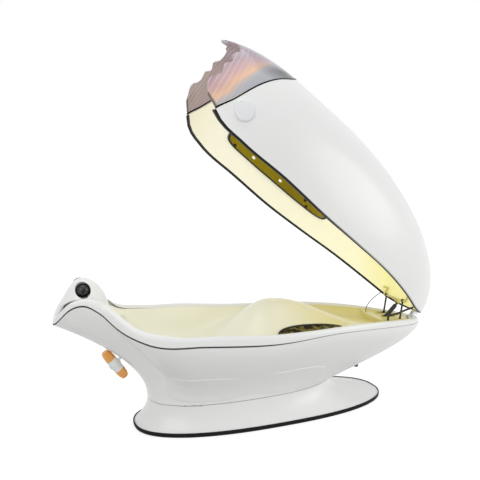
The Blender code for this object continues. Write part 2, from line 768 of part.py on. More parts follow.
def hull_side(ring, side):
    """One side's points of a ring, from the head tip to the foot tip."""
    far = np.vstack([ring[:1], ring[: OUTLINE_STATIONS - 2 : -1]])
    return ring[:OUTLINE_STATIONS] if side == "near" else far


def hull_volume(inset):
    """The space inside the hull's outline drawn in by inset, closed at the waist and the seam."""
    rings = [hull_ring(level, inset) for level in HULL_LEVELS]
    around = len(rings[0])
    faces = ring_faces(len(rings), around)[: (len(rings) - 1) * around]
    faces.append(tuple(range(around)))
    faces.append(tuple((len(rings) - 1) * around + j for j in range(around)))
    return make("hull_volume", np.concatenate(rings), faces, None)


def build_hull(looks):
    outer = [hull_ring(level, 0.0) for level in HULL_LEVELS]
    inner = [hull_ring(level, SEAM_WALL) for level in HULL_LEVELS[::-1]]
    ring_solid("lower_hull", outer + inner, looks["white"])
    low = GASKET_HEIGHT / 2

    def gasket(inset, side):
        return outline_ring(inset, lambda x: seam_z(x) + side * low)

    section = [gasket(0.0, -1), gasket(0.0, 1), gasket(SEAM_WALL, 1), gasket(SEAM_WALL, -1)]
    ring_solid("hull_gasket", section, looks["rubber"])
    for side, sign in (("near", -1), ("far", 1)):
        grid = np.stack([hull_side(ring, side) for ring in outer], 1)[:, PANEL_LEVELS]
        inside = (grid[:, 0, 0] > PANEL_HEAD_X) & (grid[:, 0, 0] < PANEL_FOOT_X)
        normals = grid_normals(grid, (WAIST_MIDDLE_X, 9.0 * sign, WAIST_Z))[inside]
        grid = grid[inside]
        upper = grid + PANEL_RAISE * normals
        sheet_solid("side_panel_" + side, upper, grid + SEAT_GAP * normals, looks["white"])


def deck_section():
    """The deck's closed section: inset from the outline, share of the way to the crest, drop."""
    return ((0.0, 0.0, 0.0), (0.002, 0.55, 0.0), (0.008, 0.88, 0.0), (0.018, 1.0, 0.0),
            (0.031, 1.0, 0.004), (DECK_LIP, 1.0, 0.018), (0.028, 1.0, 0.018), (SEAM_WALL, 0.0, 0.0))


def lip_share(x):
    """The deck's inner lip drops less round the console."""
    t = np.clip((x - LIP_HEAD_X) / LIP_LENGTH, 0, 1)
    return LIP_HEAD_SHARE + (1 - LIP_HEAD_SHARE) * t * t * (3 - 2 * t)


def deck_rings(lower_by=0.0):
    rings = []
    for inset, share, drop in deck_section():

        def height(x, share=share, drop=drop):
            low = seam_z(x) + GASKET_HEIGHT / 2 + GAP
            return low + (crest_z(x) - low) * share - drop * lip_share(x) - lower_by

        rings.append(outline_ring(inset, height))
    return rings


def build_deck(looks):
    deck = ring_solid("deck_rim", deck_rings(), looks["white"])
    half = HINGE_LEAF_HALF_WIDTH + HINGE_SIDE_ROOM
    low = (HINGE_SLOT_X[0], -half, HINGE_SLOT_LOW_Z)
    high = (HINGE_SLOT_X[1], half, HINGE_SLOT_TOP_Z)
    combine(deck, box("hinge_slot", low, high, None), "DIFFERENCE")


def liner_grids():
    x = np.linspace(LINER_HEAD_X, LINER_FOOT_X, LINER_STATIONS)[:, None]
    across = np.sin(np.linspace(-pi / 2, pi / 2, LINER_ROWS + 1))[None, :]
    wide = half_width(x, DECK_LIP) - LINER_EDGE_GAP
    y = across * wide
    x = np.broadcast_to(x, y.shape)
    z = bed_z(x, y)
    along = (bed_z(x + SLOPE_STEP, y) - bed_z(x - SLOPE_STEP, y)) / (2 * SLOPE_STEP)
    sideways = (z - bed_z(x, (1 - SLOPE_STEP) * y)) / np.maximum(SLOPE_STEP * np.abs(y), SLOPE_STEP**2)
    steepness = np.minimum(np.sqrt(1 + along**2 + sideways**2), LINER_STEEPEST)
    upper = np.stack([x, y, z], -1)
    lower = np.stack([x, y, z - LINER_WALL * steepness], -1)
    return upper, lower, across[0]


def build_bed(looks):
    upper, lower, across = liner_grids()
    sheet_solid("tub_liner", upper, lower, looks["cream"])
    surface = grid_surface(upper, across)
    for side, sign in (("near", -1), ("far", 1)):
        above = (BED_HEATER_X, 0, 5)
        halves = (BED_HEATER_HALF_LENGTH, BED_HEATER_HALF_ACROSS)
        patch = (surface, (BED_HEATER_X, sign * BED_HEATER_ACROSS), halves, HEATER_POWER, above, 16)
        heater("leg_heater_" + side, patch, upper, (looks["black"], looks["amber"]))
    above = (PILLOW_X, 0, 5)
    patch = (surface, (PILLOW_X, 0.0), (PILLOW_HALF_LENGTH, PILLOW_HALF_ACROSS), 3.0, above, 20)
    crown = ((1.0, 0.45), (0.96, 0.75), (0.80, 0.95), (0.5, 1.0), (0.2, 1.0))
    under = ((0.97, 0.2), (0.86, 0.0), (0.5, -0.1), (0.2, -0.1))
    top = [(share, lift * PILLOW_THICKNESS) for share, lift in crown]
    back = [(share, lift * PILLOW_THICKNESS) for share, lift in under]
    pillow = patch_disc("headrest_pillow", patch, top, back, looks["pad"])
    seat_on(pillow, upper, above)


def strut_y():
    """The struts stand beside the actuator, a set room inside the foot deck's edge."""
    return float(half_width(np.array(STRUT_SLOT_X[1]), DECK_LIP)) - STRUT_EDGE_ROOM


def foot_deck_z(x, y):
    """Upper face of the foot deck: falls gently to the hinge and turns up at its edges."""
    share = (x - LINER_FOOT_X) / (FOOT_DECK_END_X - LINER_FOOT_X)
    wide = half_width(x, DECK_LIP) - LINER_EDGE_GAP
    middle = FOOT_DECK_Z - FOOT_DECK_FALL * share
    edge = crest_z(x) - LINER_DROP
    return middle + (edge - middle) * np.clip(np.abs(y) / wide, 0, 1) ** 6


def slot_ring(x_from, x_to, y, half, grow, height):
    """A round-ended slot's outline, widened by grow, at a height over the foot deck."""
    angle = np.linspace(0, 2 * pi, SLOT_SIDES, endpoint=False) + pi / SLOT_SIDES
    reach = (x_to - x_from) / 2 - half
    x = (x_from + x_to) / 2 + np.sign(np.cos(angle)) * reach + (half + grow) * np.cos(angle)
    sides = y + (half + grow) * np.sin(angle)
    return np.stack([x, sides, foot_deck_z(x, sides) + height], 1)


def boot(name, slot, deck, deck_grid, looks):
    """A moulded collar on the foot deck round a slot, which is cut through the deck."""
    section = ((BOOT_WALL, -BOOT_HEIGHT), (0.4 * BOOT_WALL, BOOT_HEIGHT), (0, BOOT_HEIGHT), (0, -BOOT_HEIGHT))
    collar = ring_solid(name, [slot_ring(*slot, *pair) for pair in section], looks["cream"])
    seat_on(collar, deck_grid, (FOOT_DECK_END_X, 0, 5))
    rings = np.concatenate([slot_ring(*slot, 0, -SLOT_CUT), slot_ring(*slot, 0, SLOT_CUT)])
    faces = ring_faces(2, SLOT_SIDES)[:SLOT_SIDES]
    faces += [tuple(range(SLOT_SIDES)), tuple(range(SLOT_SIDES, 2 * SLOT_SIDES))]
    combine(deck, make("slot", rings, faces, None), "DIFFERENCE")


def build_foot_deck(looks):
    x = np.linspace(LINER_FOOT_X + GAP, FOOT_DECK_END_X, 6)[:, None]
    across = np.sin(np.linspace(-pi / 2, pi / 2, 9))[None, :]
    y = across * (half_width(x, DECK_LIP) - LINER_EDGE_GAP)
    x = np.broadcast_to(x, y.shape)
    top = np.stack([x, y, foot_deck_z(x, y)], -1)
    front = top[:1] * np.array((1, 0.9, 0)) + np.array((0, 0, FOOT_DECK_SKIRT_Z))
    upper = np.concatenate([front, top])
    lower = upper.copy()
    lower[2:, :, 2] -= FOOT_DECK_WALL
    lower[:2, :, 0] += FOOT_DECK_WALL
    lower[1, :, 2] -= FOOT_DECK_WALL
    deck = sheet_solid("foot_deck", upper, lower, looks["cream"])
    for side, sign in (("near", -1), ("far", 1)):
        slot = (*STRUT_SLOT_X, sign * strut_y(), STRUT_SLOT_HALF)
        boot("strut_boot_" + side, slot, deck, top, looks)
    boot("actuator_boot", (*RAM_SLOT_X, 0.0, RAM_SLOT_HALF), deck, top, looks)


def console_edge(x):
    """Half width of the console's ledge, a gap inside the deck's lip."""
    return half_width(x, DECK_LIP) - CONSOLE_EDGE_GAP


def console_z(x, y):
    """Upper face of the head console: a narrow dome that flares out to a ledge level with the deck."""
    ledge = crest_z(x) - CONSOLE_DROP
    dome = np.maximum(console_top_z(x) - ledge, JOIN)
    share = np.clip(np.abs(y) / np.minimum(CONSOLE_FLARE * console_half_width(x), console_edge(x)), 0, 1)
    return ledge + dome * (1 - share**3.2) ** 1.15


def build_console(looks):
    start = HEAD_TIP_X + DECK_LIP + CONSOLE_TIP_GAP
    x = np.linspace(start, CONSOLE_REAR_X, CONSOLE_STATIONS)[:, None]
    outer = console_edge(x)
    dome = np.minimum(CONSOLE_FLARE * console_half_width(x), 0.97 * outer)
    shares = np.array((1.0, 0.9, 0.78, 0.64, 0.48, 0.27))
    columns = [-outer] + [-dome * s for s in shares] + [0 * dome]
    columns += [dome * s for s in shares[::-1]] + [outer]
    y = np.concatenate(columns, 1)
    x = np.broadcast_to(x, y.shape)
    upper = np.stack([x, y, console_z(x, y)], -1)
    lower = upper.copy()
    lower[..., 1] *= (outer - CONSOLE_WALL) / outer
    lower[..., 2] -= CONSOLE_ROOF
    console = sheet_solid("head_console", upper, lower, looks["white"])
    for side, sign in (("near", -1), ("far", 1)):
        build_vent(console, side, sign, looks)


def build_vent(console, side, sign, looks):
    """A round vent in the console's flank: its hole, bezel and swivelling ball."""
    inward = (0, -sign, 0)
    hole_radius = VENT_RADIUS + GAP
    reach = VENT_CUT_Y - VENT_FACE_Y + VENT_DEPTH + CUT_PAST
    outside = (VENT_X, sign * VENT_CUT_Y, VENT_Z)
    section = ((0, hole_radius), (reach, hole_radius))
    combine(console, turned("vent_hole", outside, inward, section, None, 18), "DIFFERENCE")
    bezel = ((VENT_LIP, VENT_RADIUS - VENT_LIP), (0, VENT_INNER_RADIUS + VENT_LIP / 2),
             (VENT_LIP, VENT_INNER_RADIUS), (VENT_DEPTH, VENT_INNER_RADIUS),
             (VENT_DEPTH, VENT_RADIUS), (2 * VENT_LIP, VENT_RADIUS))
    face = (VENT_X, sign * VENT_FACE_Y, VENT_Z)
    turned("vent_bezel_" + side, face, inward, bezel, looks["black"], 18, hollow=True)
    middle = (VENT_X, sign * (VENT_FACE_Y - VENT_DEPTH / 2), VENT_Z)
    angles = np.linspace(VENT_BALL_CUT, pi - VENT_BALL_CUT, 5)
    ball = [(-VENT_BALL_RADIUS * cos(a), VENT_BALL_RADIUS * sin(a)) for a in angles]
    ball += [(ball[-1][0], VENT_NOZZLE_RADIUS), (ball[0][0], VENT_NOZZLE_RADIUS)]
    turned("vent_ball_" + side, middle, inward, ball, looks["black"], 14, hollow=True, origin=middle)


def build_fan(looks):
    """The air fan under the console's roof: a housing with a spoke and shaft, and a rotor on it."""
    along_fan = np.linspace(FAN_X - FAN_LENGTH / 2, FAN_X + FAN_LENGTH / 2, 3)
    roof = float(np.min(console_z(along_fan, np.array(0.35 * FAN_RADIUS))))
    fan_z = roof - CONSOLE_ROOF - FAN_RADIUS - FAN_ROOF_GAP
    front = FAN_X - FAN_LENGTH / 2
    start = (front, 0, fan_z)
    inside = FAN_RADIUS - FAN_WALL
    shell = ((0, FAN_RADIUS), (FAN_LENGTH, FAN_RADIUS), (FAN_LENGTH, inside), (0, inside))
    housing = turned("fan_housing", start, (1, 0, 0), shell, looks["black"], 20, hollow=True)
    reach = inside + FAN_WALL / 3
    low = (front, -reach, fan_z - FAN_SHAFT_RADIUS)
    high = (front + FAN_WALL, reach, fan_z + FAN_SHAFT_RADIUS)
    combine(housing, box("spoke", low, high, None), "UNION")
    shaft = ((FAN_WALL / 3, FAN_SHAFT_RADIUS), (FAN_SHAFT_END, FAN_SHAFT_RADIUS))
    combine(housing, turned("shaft", start, (1, 0, 0), shaft, None, 12), "UNION")
    bore = FAN_SHAFT_RADIUS + GAP
    hub = ((FAN_HUB_START, bore), (FAN_HUB_START, FAN_HUB_RADIUS),
           (FAN_HUB_END, FAN_HUB_RADIUS), (FAN_HUB_END, bore))
    middle = (FAN_X, 0, fan_z)
    rotor = turned("fan_rotor", start, (1, 0, 0), hub, looks["black"], 15, hollow=True, origin=middle)
    for k in range(FAN_BLADES):
        out = np.array((0, cos(2 * pi * k / FAN_BLADES), sin(2 * pi * k / FAN_BLADES)))
        round_fan = np.array((0, -out[2], out[1]))
        points = []
        for radius in (FAN_HUB_RADIUS - 0.0005, inside - FAN_TIP_GAP):
            for along, turn in ((FAN_BLADE_START, -FAN_PITCH), (FAN_BLADE_END, FAN_PITCH)):
                for thick in (-FAN_BLADE_HALF, FAN_BLADE_HALF):
                    points.append(start + radius * out + (radius * turn + thick) * round_fan + (along, 0, 0))
        combine(rotor, make("blade", points, BOX_FACES, None), "UNION")


def lid_strip(name, insets, below, height, look, **place):
    """A strip under the lid's edge, from one corner of the hood round the foot to the other."""

    def path(inset, drop):
        near = lid_grid(inset, HOOD_TRIM_WIDTH / 2 + LID_EDGE_GAP)[:, 0]
        far = near[::-1] * np.array((1, -1, 1))
        return np.concatenate([near, far]) - np.array((0, 0, drop))

    high = np.stack([path(inset, below) for inset in insets], 1)
    low = np.stack([path(inset, below + height) for inset in insets], 1)
    return sheet_solid(name, high, low, look, **place)


def rim_band(name, below, look, **place):
    """The band that closes the lid's edge between shell and liner."""
    seal = (SEAL_INSET, SEAL_INSET + SEAL_WIDTH)
    insets = (0.0, *seal, LID_LINER_INSET + LID_LINER_WALL)
    return lid_strip(name, insets, below, RIM_BAND_HEIGHT, look, **place)


def hood_seam_arc(inset, shift, proud=0.0):
    """The seam's arch, shifted along the lid and stood proud of it."""
    points = lid_point(hood_seam_x(ARCH) + shift, ARCH, inset)
    points[:, 1] *= 1 + proud / HALF_WIDTH
    points[:, 2] += proud * np.sin(ARCH)
    return points


def hood_grid(inset):
    """Hood points from its notched front edge to the seam."""
    back = hood_seam_x(ARCH) - HOOD_TRIM_WIDTH / 2 - HOOD_TRIM_GAP
    front = np.interp(from_rim(ARCH), *np.array(HOOD_FRONT).T)
    x = front + (back - front) * np.linspace(0, 1, HOOD_STATIONS)[:, None]
    return lid_point(x, np.broadcast_to(ARCH, x.shape), inset)


def build_lid(looks, **place):
    start = HOOD_TRIM_WIDTH / 2 + LID_EDGE_GAP
    outer = lid_grid(0.0, start)
    sheet_solid("lid_shell", outer, lid_grid(LID_WALL, start), looks["white"], **place)
    deep = LID_LINER_INSET + LID_LINER_WALL
    liner = lid_grid(deep, start)
    sheet_solid("lid_liner", lid_grid(LID_LINER_INSET, start), liner, looks["cream"], **place)
    rim_band("lid_rim_band", GAP, looks["white"], **place)
    seal = (SEAL_INSET, SEAL_INSET + SEAL_WIDTH)
    lid_strip("lid_seal", seal, RIM_BAND_HEIGHT + SEAL_GAP, SEAL_HEIGHT, looks["rubber"], **place)
    half = HOOD_TRIM_WIDTH / 2
    high = np.stack([hood_seam_arc(0.0, shift, HOOD_TRIM_PROUD) for shift in (-half, half)], 1)
    low = np.stack([hood_seam_arc(LID_WALL, shift) for shift in (-half, half)], 1)
    sheet_solid("hood_trim", high, low, looks["rubber"], **place)
    sheet_solid("hood", hood_grid(0.0), hood_grid(LID_WALL), looks["hood"], **place)
    shell_surface = grid_surface(outer, ARCH)
    liner_surface = grid_surface(liner, ARCH)
    for side, sign in (("near", -1), ("far", 1)):
        angle = CAP_ANGLE if side == "near" else pi - CAP_ANGLE
        outside = (CAP_X, 9.0 * sign, LID_TOP_Z)
        patch = (shell_surface, (CAP_X, angle), (CAP_RADIUS, CAP_HALF_ANGLE), 2.0, outside, 16)
        upper = [(1.0, 0.4 * CAP_HEIGHT), (0.86, 0.8 * CAP_HEIGHT), (0.5, CAP_HEIGHT), (0.2, CAP_HEIGHT)]
        lower = [(1.0, -CAP_HEIGHT), (0.5, -CAP_HEIGHT)]
        cap = patch_disc("side_cap_" + side, patch, upper, lower, looks["white"], **place)
        flank = outer[:, :CAP_COLUMNS] if side == "near" else outer[:, -CAP_COLUMNS:]
        flank = np.concatenate([2 * flank[:1] - flank[1:2], flank])
        seat_on(cap, flank, outside, CAP_GAP, **place)
        angle = LID_HEATER_ANGLE if side == "near" else pi - LID_HEATER_ANGLE
        halves = (LID_HEATER_HALF_LENGTH, LID_HEATER_HALF_ANGLE)
        inside = (LID_HEATER_X, 0.0, HINGE_Z)
        patch = (liner_surface, (LID_HEATER_X, angle), halves, HEATER_POWER, inside, 16)
        heater("lid_heater_" + side, patch, liner, (looks["black"], looks["amber"]), **place)


def closed_place(x, z):
    """Where a place on the open lid lies when the lid is closed."""
    x, z = x - HINGE_X, z - HINGE_Z
    return (HINGE_X + x * cos(LID_OPEN) - z * sin(LID_OPEN), HINGE_Z + x * sin(LID_OPEN) + z * cos(LID_OPEN))


def build_hinge(looks, **place):
    inside = HINGE_LEAF_HALF_WIDTH + HINGE_SIDE_ROOM
    outside = inside + HINGE_EAR_THICKNESS
    head = HINGE_X - HINGE_BRACKET_HALF_LENGTH
    foot = HINGE_X + HINGE_BRACKET_HALF_LENGTH
    bracket = box("hinge_bracket", (head, -outside, HINGE_BRACKET_LOW_Z),
                  (foot, outside, HINGE_BRACKET_TOP_Z), looks["steel"])
    low = (head - CUT_PAST, -inside, HINGE_BRIDGE_TOP_Z)
    high = (foot + CUT_PAST, inside, HINGE_SLOT_TOP_Z)
    combine(bracket, box("room", low, high, None), "DIFFERENCE")
    bore = HINGE_PIN_RADIUS + GAP
    combine(bracket, crosswise("bore", HINGE_X, HINGE_Z, outside + CUT_PAST, bore, None), "DIFFERENCE")
    combine(bracket, ring_solid("deck", deck_rings(SEAT_GAP), None), "DIFFERENCE")
    crosswise("hinge_pin", HINGE_X, HINGE_Z, outside + HINGE_PIN_PAST, HINGE_PIN_RADIUS, looks["steel"])
    wide = HINGE_LEAF_HALF_WIDTH
    half = HINGE_LEAF_THICKNESS / 2
    leaf = crosswise("hinge_leaf", HINGE_X, HINGE_Z, wide, HINGE_KNUCKLE_RADIUS, looks["steel"],
                     bore, **place)
    low = (HINGE_X - half, -wide, HINGE_PLATE_LOW_Z)
    high = (HINGE_X + half, wide, (HINGE_FLANGE_LOW_Z + HINGE_FLANGE_TOP_Z) / 2)
    combine(leaf, box("plate", low, high, None, **place), "UNION")
    flange = box("flange", (HINGE_X - half, -wide, HINGE_FLANGE_LOW_Z),
                 (HINGE_FLANGE_X, wide, HINGE_FLANGE_TOP_Z), None, **place)
    combine(leaf, flange, "UNION")


def build_crossbar(looks, **place):
    x, z = closed_place(CROSSBAR_X, CROSSBAR_Z)
    half = strut_y() + CROSSBAR_PAST_STRUT
    bar = crosswise("lid_crossbar", x, z, half, CROSSBAR_RADIUS, looks["black"], **place)
    for sign in (-1, 1):
        inner = sign * (half - CROSSBAR_PLATE)
        ends = sorted((inner, sign * (half + JOIN)))
        low = (x - CROSSBAR_PLATE, ends[0], z - 0.5 * CROSSBAR_RADIUS)
        high = (x + CROSSBAR_PLATE, ends[1], CROSSBAR_TOP_Z)
        combine(bar, box("plate", low, high, None, **place), "UNION")
        ends = sorted((inner, sign * CROSSBAR_REACH))
        low = (x - CROSSBAR_PLATE, ends[0], CROSSBAR_TOP_Z - CROSSBAR_ARM)
        high = (x + CROSSBAR_PLATE, ends[1], CROSSBAR_TOP_Z + JOIN)
        combine(bar, box("arm", low, high, None, **place), "UNION")
    top = closed_place(ACTUATOR_TOP_X, ACTUATOR_TOP_Z)
    for sign in (-1, 1):
        ends = sorted((sign * LUG_INNER_Y, sign * LUG_OUTER_Y))
        combine(bar, link("lug", (x, z), top, LUG_HALF_HEIGHT, *ends, None, **place), "UNION")
    pin = crosswise("pin", *top, LUG_OUTER_Y + JOIN, ACTUATOR_PIN_RADIUS, None, **place)
    combine(bar, pin, "UNION")
    deep = LID_LINER_INSET + LID_LINER_WALL
    seat_on(bar, lid_grid(deep, HOOD_TRIM_WIDTH / 2 + LID_EDGE_GAP), (x, 0, HINGE_Z), **place)


def build_struts(looks):
    top = Vector((CROSSBAR_X, 0, CROSSBAR_Z))
    base = Vector((STRUT_BASE_X, 0, STRUT_BASE_Z))
    down = base - top
    length = down.length
    half = STRUT_EYE_THICKNESS / 2
    for side, sign in (("near", -1), ("far", 1)):
        y = sign * strut_y()
        origin = (CROSSBAR_X, y, CROSSBAR_Z)
        place = {"origin": origin}
        section = ((STRUT_EYE_RADIUS - 2 * JOIN, STRUT_ROD_RADIUS), (STRUT_ROD_LENGTH, STRUT_ROD_RADIUS))
        rod = turned("strut_rod_" + side, origin, down, section, looks["black"], 12, **place)
        eye = crosswise("eye", CROSSBAR_X, CROSSBAR_Z, half, STRUT_EYE_RADIUS, None,
                        CROSSBAR_RADIUS + GAP, y, **place)
        combine(rod, eye, "UNION")
        mouth = length - STRUT_CYLINDER_LENGTH
        section = ((length - STRUT_EYE_RADIUS + 2 * JOIN, STRUT_RADIUS), (mouth, STRUT_RADIUS),
                   (mouth, STRUT_ROD_RADIUS + GAP), (length - STRUT_BORE_END, STRUT_ROD_RADIUS + GAP))
        cylinder = turned("strut_cylinder_" + side, origin, down, section, looks["black"], 12, **place)
        eye = crosswise("eye", STRUT_BASE_X, STRUT_BASE_Z, half, STRUT_BASE_EYE_RADIUS, None,
                        STRUT_BASE_PIN_RADIUS + STRUT_BASE_PLAY, y, **place)
        combine(cylinder, eye, "UNION")


def build_actuator(looks):
    origin = (ACTUATOR_TOP_X, 0, ACTUATOR_TOP_Z)
    base = Vector((ACTUATOR_BASE_X, 0, ACTUATOR_BASE_Z))
    down = base - Vector(origin)
    length = down.length
    neck = 0.5 * RAM_RADIUS
    section = ((ACTUATOR_EYE_RADIUS - 4 * JOIN, neck), (RAM_NECK_END, neck), (RAM_SHOULDER, RAM_RADIUS),
               (ACTUATOR_RAM_LENGTH, RAM_RADIUS))
    ram = turned("actuator_ram", origin, down, section, looks["black"], 16, origin=origin)
    eye = crosswise("eye", ACTUATOR_TOP_X, ACTUATOR_TOP_Z, LUG_INNER_Y - SEAT_GAP, ACTUATOR_EYE_RADIUS, None,
                    ACTUATOR_PIN_RADIUS + GAP, origin=origin)
    combine(ram, eye, "UNION")
    mouth = length - ACTUATOR_BODY_LENGTH
    play = ACTUATOR_BASE_PIN_RADIUS + ACTUATOR_BASE_PLAY
    tail = play + ACTUATOR_EYE_WALL
    bore_end = length - tail - ACTUATOR_EYE_WALL
    section = ((length - tail + JOIN, 0.6 * ACTUATOR_RADIUS), (bore_end - 2 * JOIN, ACTUATOR_RADIUS),
               (mouth, ACTUATOR_RADIUS), (mouth, RAM_RADIUS + GAP), (bore_end, RAM_RADIUS + GAP))
    body = turned("actuator_body", origin, down, section, looks["black"], 16, origin=origin)
    eye = crosswise("eye", ACTUATOR_BASE_X, ACTUATOR_BASE_Z, LUG_INNER_Y, tail, None, play, origin=origin)
    combine(body, eye, "UNION")


def build_foot_bracket(looks):
    """The steel bracket in the hull that holds the lower pins of struts and actuator."""
    bracket = crosswise("foot_bracket", STRUT_BASE_X, STRUT_BASE_Z, FOOT_BAR_HALF_LENGTH,
                        STRUT_BASE_PIN_RADIUS, looks["steel"])
    half = FOOT_BEAM_HALF_WIDTH
    low = (STRUT_BASE_X - FOOT_POST_HALF, -half, FOOT_BEAM_LOW_Z)
    high = (STRUT_BASE_X + FOOT_POST_HALF, half, STRUT_BASE_Z + 2 * FOOT_POST_HALF)
    combine(bracket, box("post", low, high, None), "UNION")
    low = (ACTUATOR_BASE_X - FOOT_CHEEK_HALF + JOIN, -half, FOOT_BEAM_LOW_Z)
    high = (STRUT_BASE_X + FOOT_POST_HALF, half, FOOT_BEAM_TOP_Z)
    combine(bracket, box("beam", low, high, None), "UNION")
    cheek = ACTUATOR_RADIUS + FOOT_CHEEK_ROOM
    for sign in (-1, 1):
        ends = sorted((sign * cheek, sign * (cheek + FOOT_CHEEK_WALL)))
        low = (ACTUATOR_BASE_X - FOOT_CHEEK_HALF, ends[0], FOOT_CUT_LOW_Z)
        high = (ACTUATOR_BASE_X + FOOT_CHEEK_HALF, ends[1], FOOT_CHEEK_TOP_Z)
        combine(bracket, box("cheek", low, high, None), "UNION")
    middle = cheek + FOOT_CHEEK_WALL / 2
    low = (ACTUATOR_BASE_X - FOOT_CHEEK_HALF + JOIN / 2, -middle, FOOT_CUT_LOW_Z)
    high = (ACTUATOR_BASE_X + FOOT_CHEEK_HALF - JOIN / 2, middle, FOOT_BEAM_TOP_Z - 2 * JOIN)
    combine(bracket, box("foot", low, high, None), "UNION")
    pin = crosswise("pin", ACTUATOR_BASE_X, ACTUATOR_BASE_Z, middle, ACTUATOR_BASE_PIN_RADIUS, None)
    combine(bracket, pin, "UNION")
    combine(bracket, hull_volume(SEAM_WALL + SEAT_GAP), "INTERSECT")


def build_cables(looks):
    deck_end = (CONDUIT_END_X, -CONDUIT_END_Y)
    rest = float(foot_deck_z(*deck_end)) + CABLE_SEAT
    stops = [CONDUIT_TOP, *CONDUIT_BENDS, (*deck_end, rest + CABLE_UPRIGHT), (*deck_end, rest)]
    tube("lid_cable_conduit", stops, CONDUIT_RADIUS, looks["black"])
    deck_end = (LEAD_END_X, LEAD_END_Y)
    rest = float(foot_deck_z(*deck_end)) + CABLE_SEAT
    stops = [LEAD_TOP, *LEAD_BENDS, (*deck_end, rest + CABLE_UPRIGHT), (*deck_end, rest)]
    tube("sensor_lead", stops, LEAD_RADIUS, looks["steel"], sides=6)


def build_cartridge(looks):
    upper, lower = Vector(CARTRIDGE_UPPER), Vector(CARTRIDGE_LOWER)
    middle = (upper + lower) / 2
    along = (lower - upper).normalized()
    half = CARTRIDGE_TUBE_LENGTH / 2
    radius = CARTRIDGE_RADIUS
    turned("cartridge_tube", middle, along, ((-half, radius), (half, radius)), looks["white"], 20)
    end = (upper - lower).length / 2
    cap = ((half + GAP, radius + JOIN), (0.8 * end, 0.92 * radius), (end, 0.66 * radius))
    turned("cartridge_cap_upper", middle, -along, cap, looks["orange"], 8)
    turned("cartridge_cap_lower", middle, along, cap, looks["orange"], 8)
    wide = CARTRIDGE_CLIP_WIDTH / 2
    clip = radius + GAP
    wall = clip + CARTRIDGE_CLIP_WALL
    section = ((-wide, clip), (-wide, wall), (wide, wall), (wide, clip))
    bracket = turned("cartridge_bracket", middle, along, section, looks["white"], 20, hollow=True)
    section = ((wall - JOIN, CARTRIDGE_STEM_RADIUS), (CARTRIDGE_STEM_END, CARTRIDGE_STEM_RADIUS))
    combine(bracket, turned("stem", middle, CARTRIDGE_STEM, section, None, 12), "UNION")
    combine(bracket, hull_volume(-SEAT_GAP), "DIFFERENCE")


def build_underside(looks):
    plug = ((0, 0.8 * DRAIN_RADIUS), (0.2 * DRAIN_RADIUS, DRAIN_RADIUS), (4 * DRAIN_RADIUS, DRAIN_RADIUS))
    drain = turned("drain_plug", DRAIN_LOW, (0, 0, 1), plug, looks["black"], 14)
    combine(drain, hull_volume(-SEAT_GAP), "DIFFERENCE")
    rail_high = RAIL_LOW_Z + RAIL_HEIGHT
    half = RAIL_WIDTH / 2
    frame = box("pedestal_frame", (FRAME_HEAD_X - half, -RAIL_Y - half, RAIL_LOW_Z),
                (FRAME_FOOT_X + half, -RAIL_Y + half, rail_high), looks["steel"])
    low = (FRAME_HEAD_X - half, RAIL_Y - half, RAIL_LOW_Z)
    parts = [box("rail", low, (FRAME_FOOT_X + half, RAIL_Y + half, rail_high), None)]
    for x in (FRAME_HEAD_X, FRAME_FOOT_X):
        low = (x - half + JOIN, -RAIL_Y, RAIL_LOW_Z + JOIN)
        parts.append(box("rung", low, (x + half - JOIN, RAIL_Y, rail_high - JOIN), None))
        for y in (-RAIL_Y, RAIL_Y):
            low = (x - POST_HALF_WIDTH, y - POST_HALF_WIDTH, rail_high - 5 * JOIN)
            parts.append(box("post", low, (x + POST_HALF_WIDTH, y + POST_HALF_WIDTH, POST_TOP_Z), None))
    for piece in parts:
        combine(frame, piece, "UNION")
    _, lower, _ = liner_grids()
    room = sheet_solid("liner", lower + np.array((0, 0, POST_TOP_Z)),
                       lower - np.array((0, 0, SEAT_GAP)), None)
    combine(frame, room, "DIFFERENCE")
    pad = ((0, FOOT_PAD_RADIUS), (FOOT_PAD_HEIGHT, FOOT_PAD_RADIUS), (FOOT_NECK_Z, FOOT_STEM_RADIUS),
           (RAIL_LOW_Z - GAP, FOOT_STEM_RADIUS))
    places = [(x, y) for x in (FRAME_HEAD_X, FRAME_FOOT_X) for y in (-RAIL_Y, RAIL_Y)]
    for number, (x, y) in enumerate(places, 1):
        turned(f"levelling_foot_{number}", (x, y, 0), (0, 0, 1), pad, looks["rubber"], 14)
    low = (CONTROL_BOX_HEAD_X, -CONTROL_BOX_HALF_WIDTH, rail_high + GAP)
    high = (CONTROL_BOX_FOOT_X, CONTROL_BOX_HALF_WIDTH, rail_high + CONTROL_BOX_HEIGHT)
    box("control_box", low, high, looks["black"])


